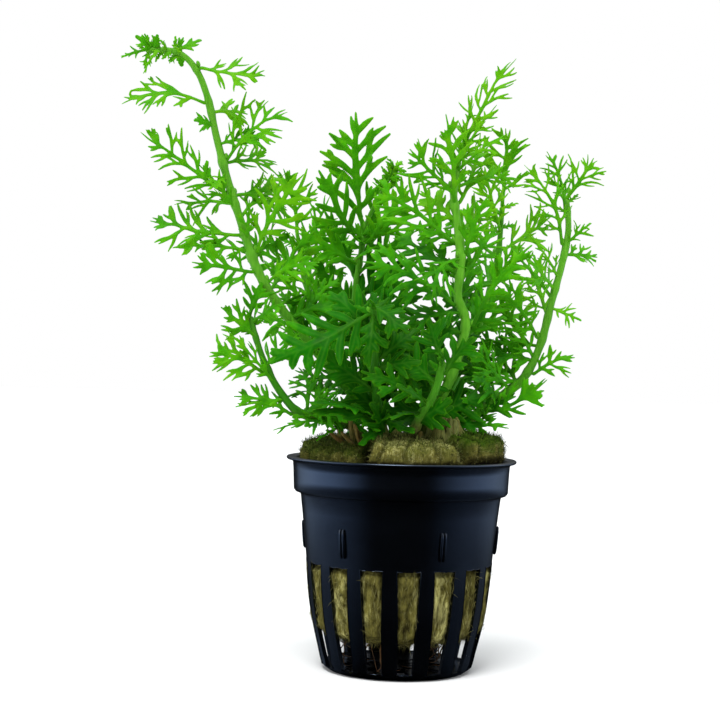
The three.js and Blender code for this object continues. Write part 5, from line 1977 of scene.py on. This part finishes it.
def world_light(scene):
    """A white backdrop, and a soft light that is strong from above, weaker from the sides and
    weakest from the front and the back: 0.015 + 0.785 z + 0.4 x^2 for the way (x, y, z)."""
    world = bpy.data.worlds.new("studio")
    world.use_nodes = True
    scene.world = world
    tree = world.node_tree
    tree.nodes.clear()
    kinds = {
        "output": "OutputWorld", "seen": "Background", "felt": "Background",
        "chosen": "MixShader", "path": "LightPath", "where": "TexCoord", "split": "SeparateXYZ",
        "square": "Math", "side": "Math", "rise": "MapRange", "sum": "Math",
    }
    made = {key: tree.nodes.new("ShaderNode" + kind) for key, kind in kinds.items()}
    made["seen"].inputs["Color"].default_value = (1, 1, 1, 1)
    made["felt"].inputs["Color"].default_value = (0.94, 0.98, 1, 1)
    made["square"].operation = made["side"].operation = "MULTIPLY"
    made["side"].inputs[1].default_value = 0.4
    for key, value in (("From Min", 0), ("From Max", 1), ("To Min", 0.015), ("To Max", 0.8)):
        made["rise"].inputs[key].default_value = value
    links = (
        ("where", "Generated", "split", 0), ("split", "X", "square", 0),
        ("split", "X", "square", 1), ("square", 0, "side", 0), ("split", "Z", "rise", "Value"),
        ("rise", 0, "sum", 0), ("side", 0, "sum", 1), ("sum", 0, "felt", "Strength"),
        ("path", "Is Camera Ray", "chosen", 0), ("felt", 0, "chosen", 1),
        ("seen", 0, "chosen", 2), ("chosen", 0, "output", "Surface"),
    )
    for start, out, end, into in links:
        tree.links.new(made[start].outputs[out], made[end].inputs[into])


class SPRITE_PT_panel(bpy.types.Panel):
    """The water sprite's settings and the steps that build it"""

    bl_idname = "SPRITE_PT_panel"
    bl_label = "Water Sprite"
    bl_space_type = "VIEW_3D"
    bl_region_type = "UI"
    bl_category = "Water Sprite"

    def draw(self, context):
        for settings, operators in PANEL_ROWS:
            box = self.layout.box()
            group = getattr(context.scene, settings)
            for key in type(group).__annotations__:
                box.prop(group, key)
            for operator in operators:
                box.operator(operator)


# Each box of the panel: its settings and the steps that use them.
PANEL_ROWS = (
    ("sprite_pot", ("sprite.pot",)),
    ("sprite_wool", ("sprite.wool",)),
    ("sprite_plant", ("sprite.stems", "sprite.leaves")),
    ("sprite_stage", ("sprite.stage",)),
)
SETTINGS = {
    "sprite_pot": SpritePotSettings,
    "sprite_wool": SpriteWoolSettings,
    "sprite_plant": SpritePlantSettings,
    "sprite_stage": SpriteStageSettings,
}
CLASSES = (
    *SETTINGS.values(),
    SPRITE_OT_pot,
    SPRITE_OT_wool,
    SPRITE_OT_stems,
    SPRITE_OT_leaves,
    SPRITE_OT_stage,
    SPRITE_PT_panel,
)


def register():
    """Adds the classes and their settings to Blender."""
    for item in CLASSES:
        bpy.utils.register_class(item)
    for key, group in SETTINGS.items():
        setattr(bpy.types.Scene, key, bpy.props.PointerProperty(type=group))


def unregister():
    """Takes the settings and the classes out again."""
    for key in SETTINGS:
        delattr(bpy.types.Scene, key)
    for item in reversed(CLASSES):
        bpy.utils.unregister_class(item)


def main():
    """Builds the stage and every piece."""
    register()
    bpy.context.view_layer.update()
    bpy.ops.sprite.stage()
    bpy.ops.sprite.pot()
    bpy.ops.sprite.wool()
    bpy.ops.sprite.stems()
    bpy.ops.sprite.leaves()
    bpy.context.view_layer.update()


if __name__ == "__main__":
    main()
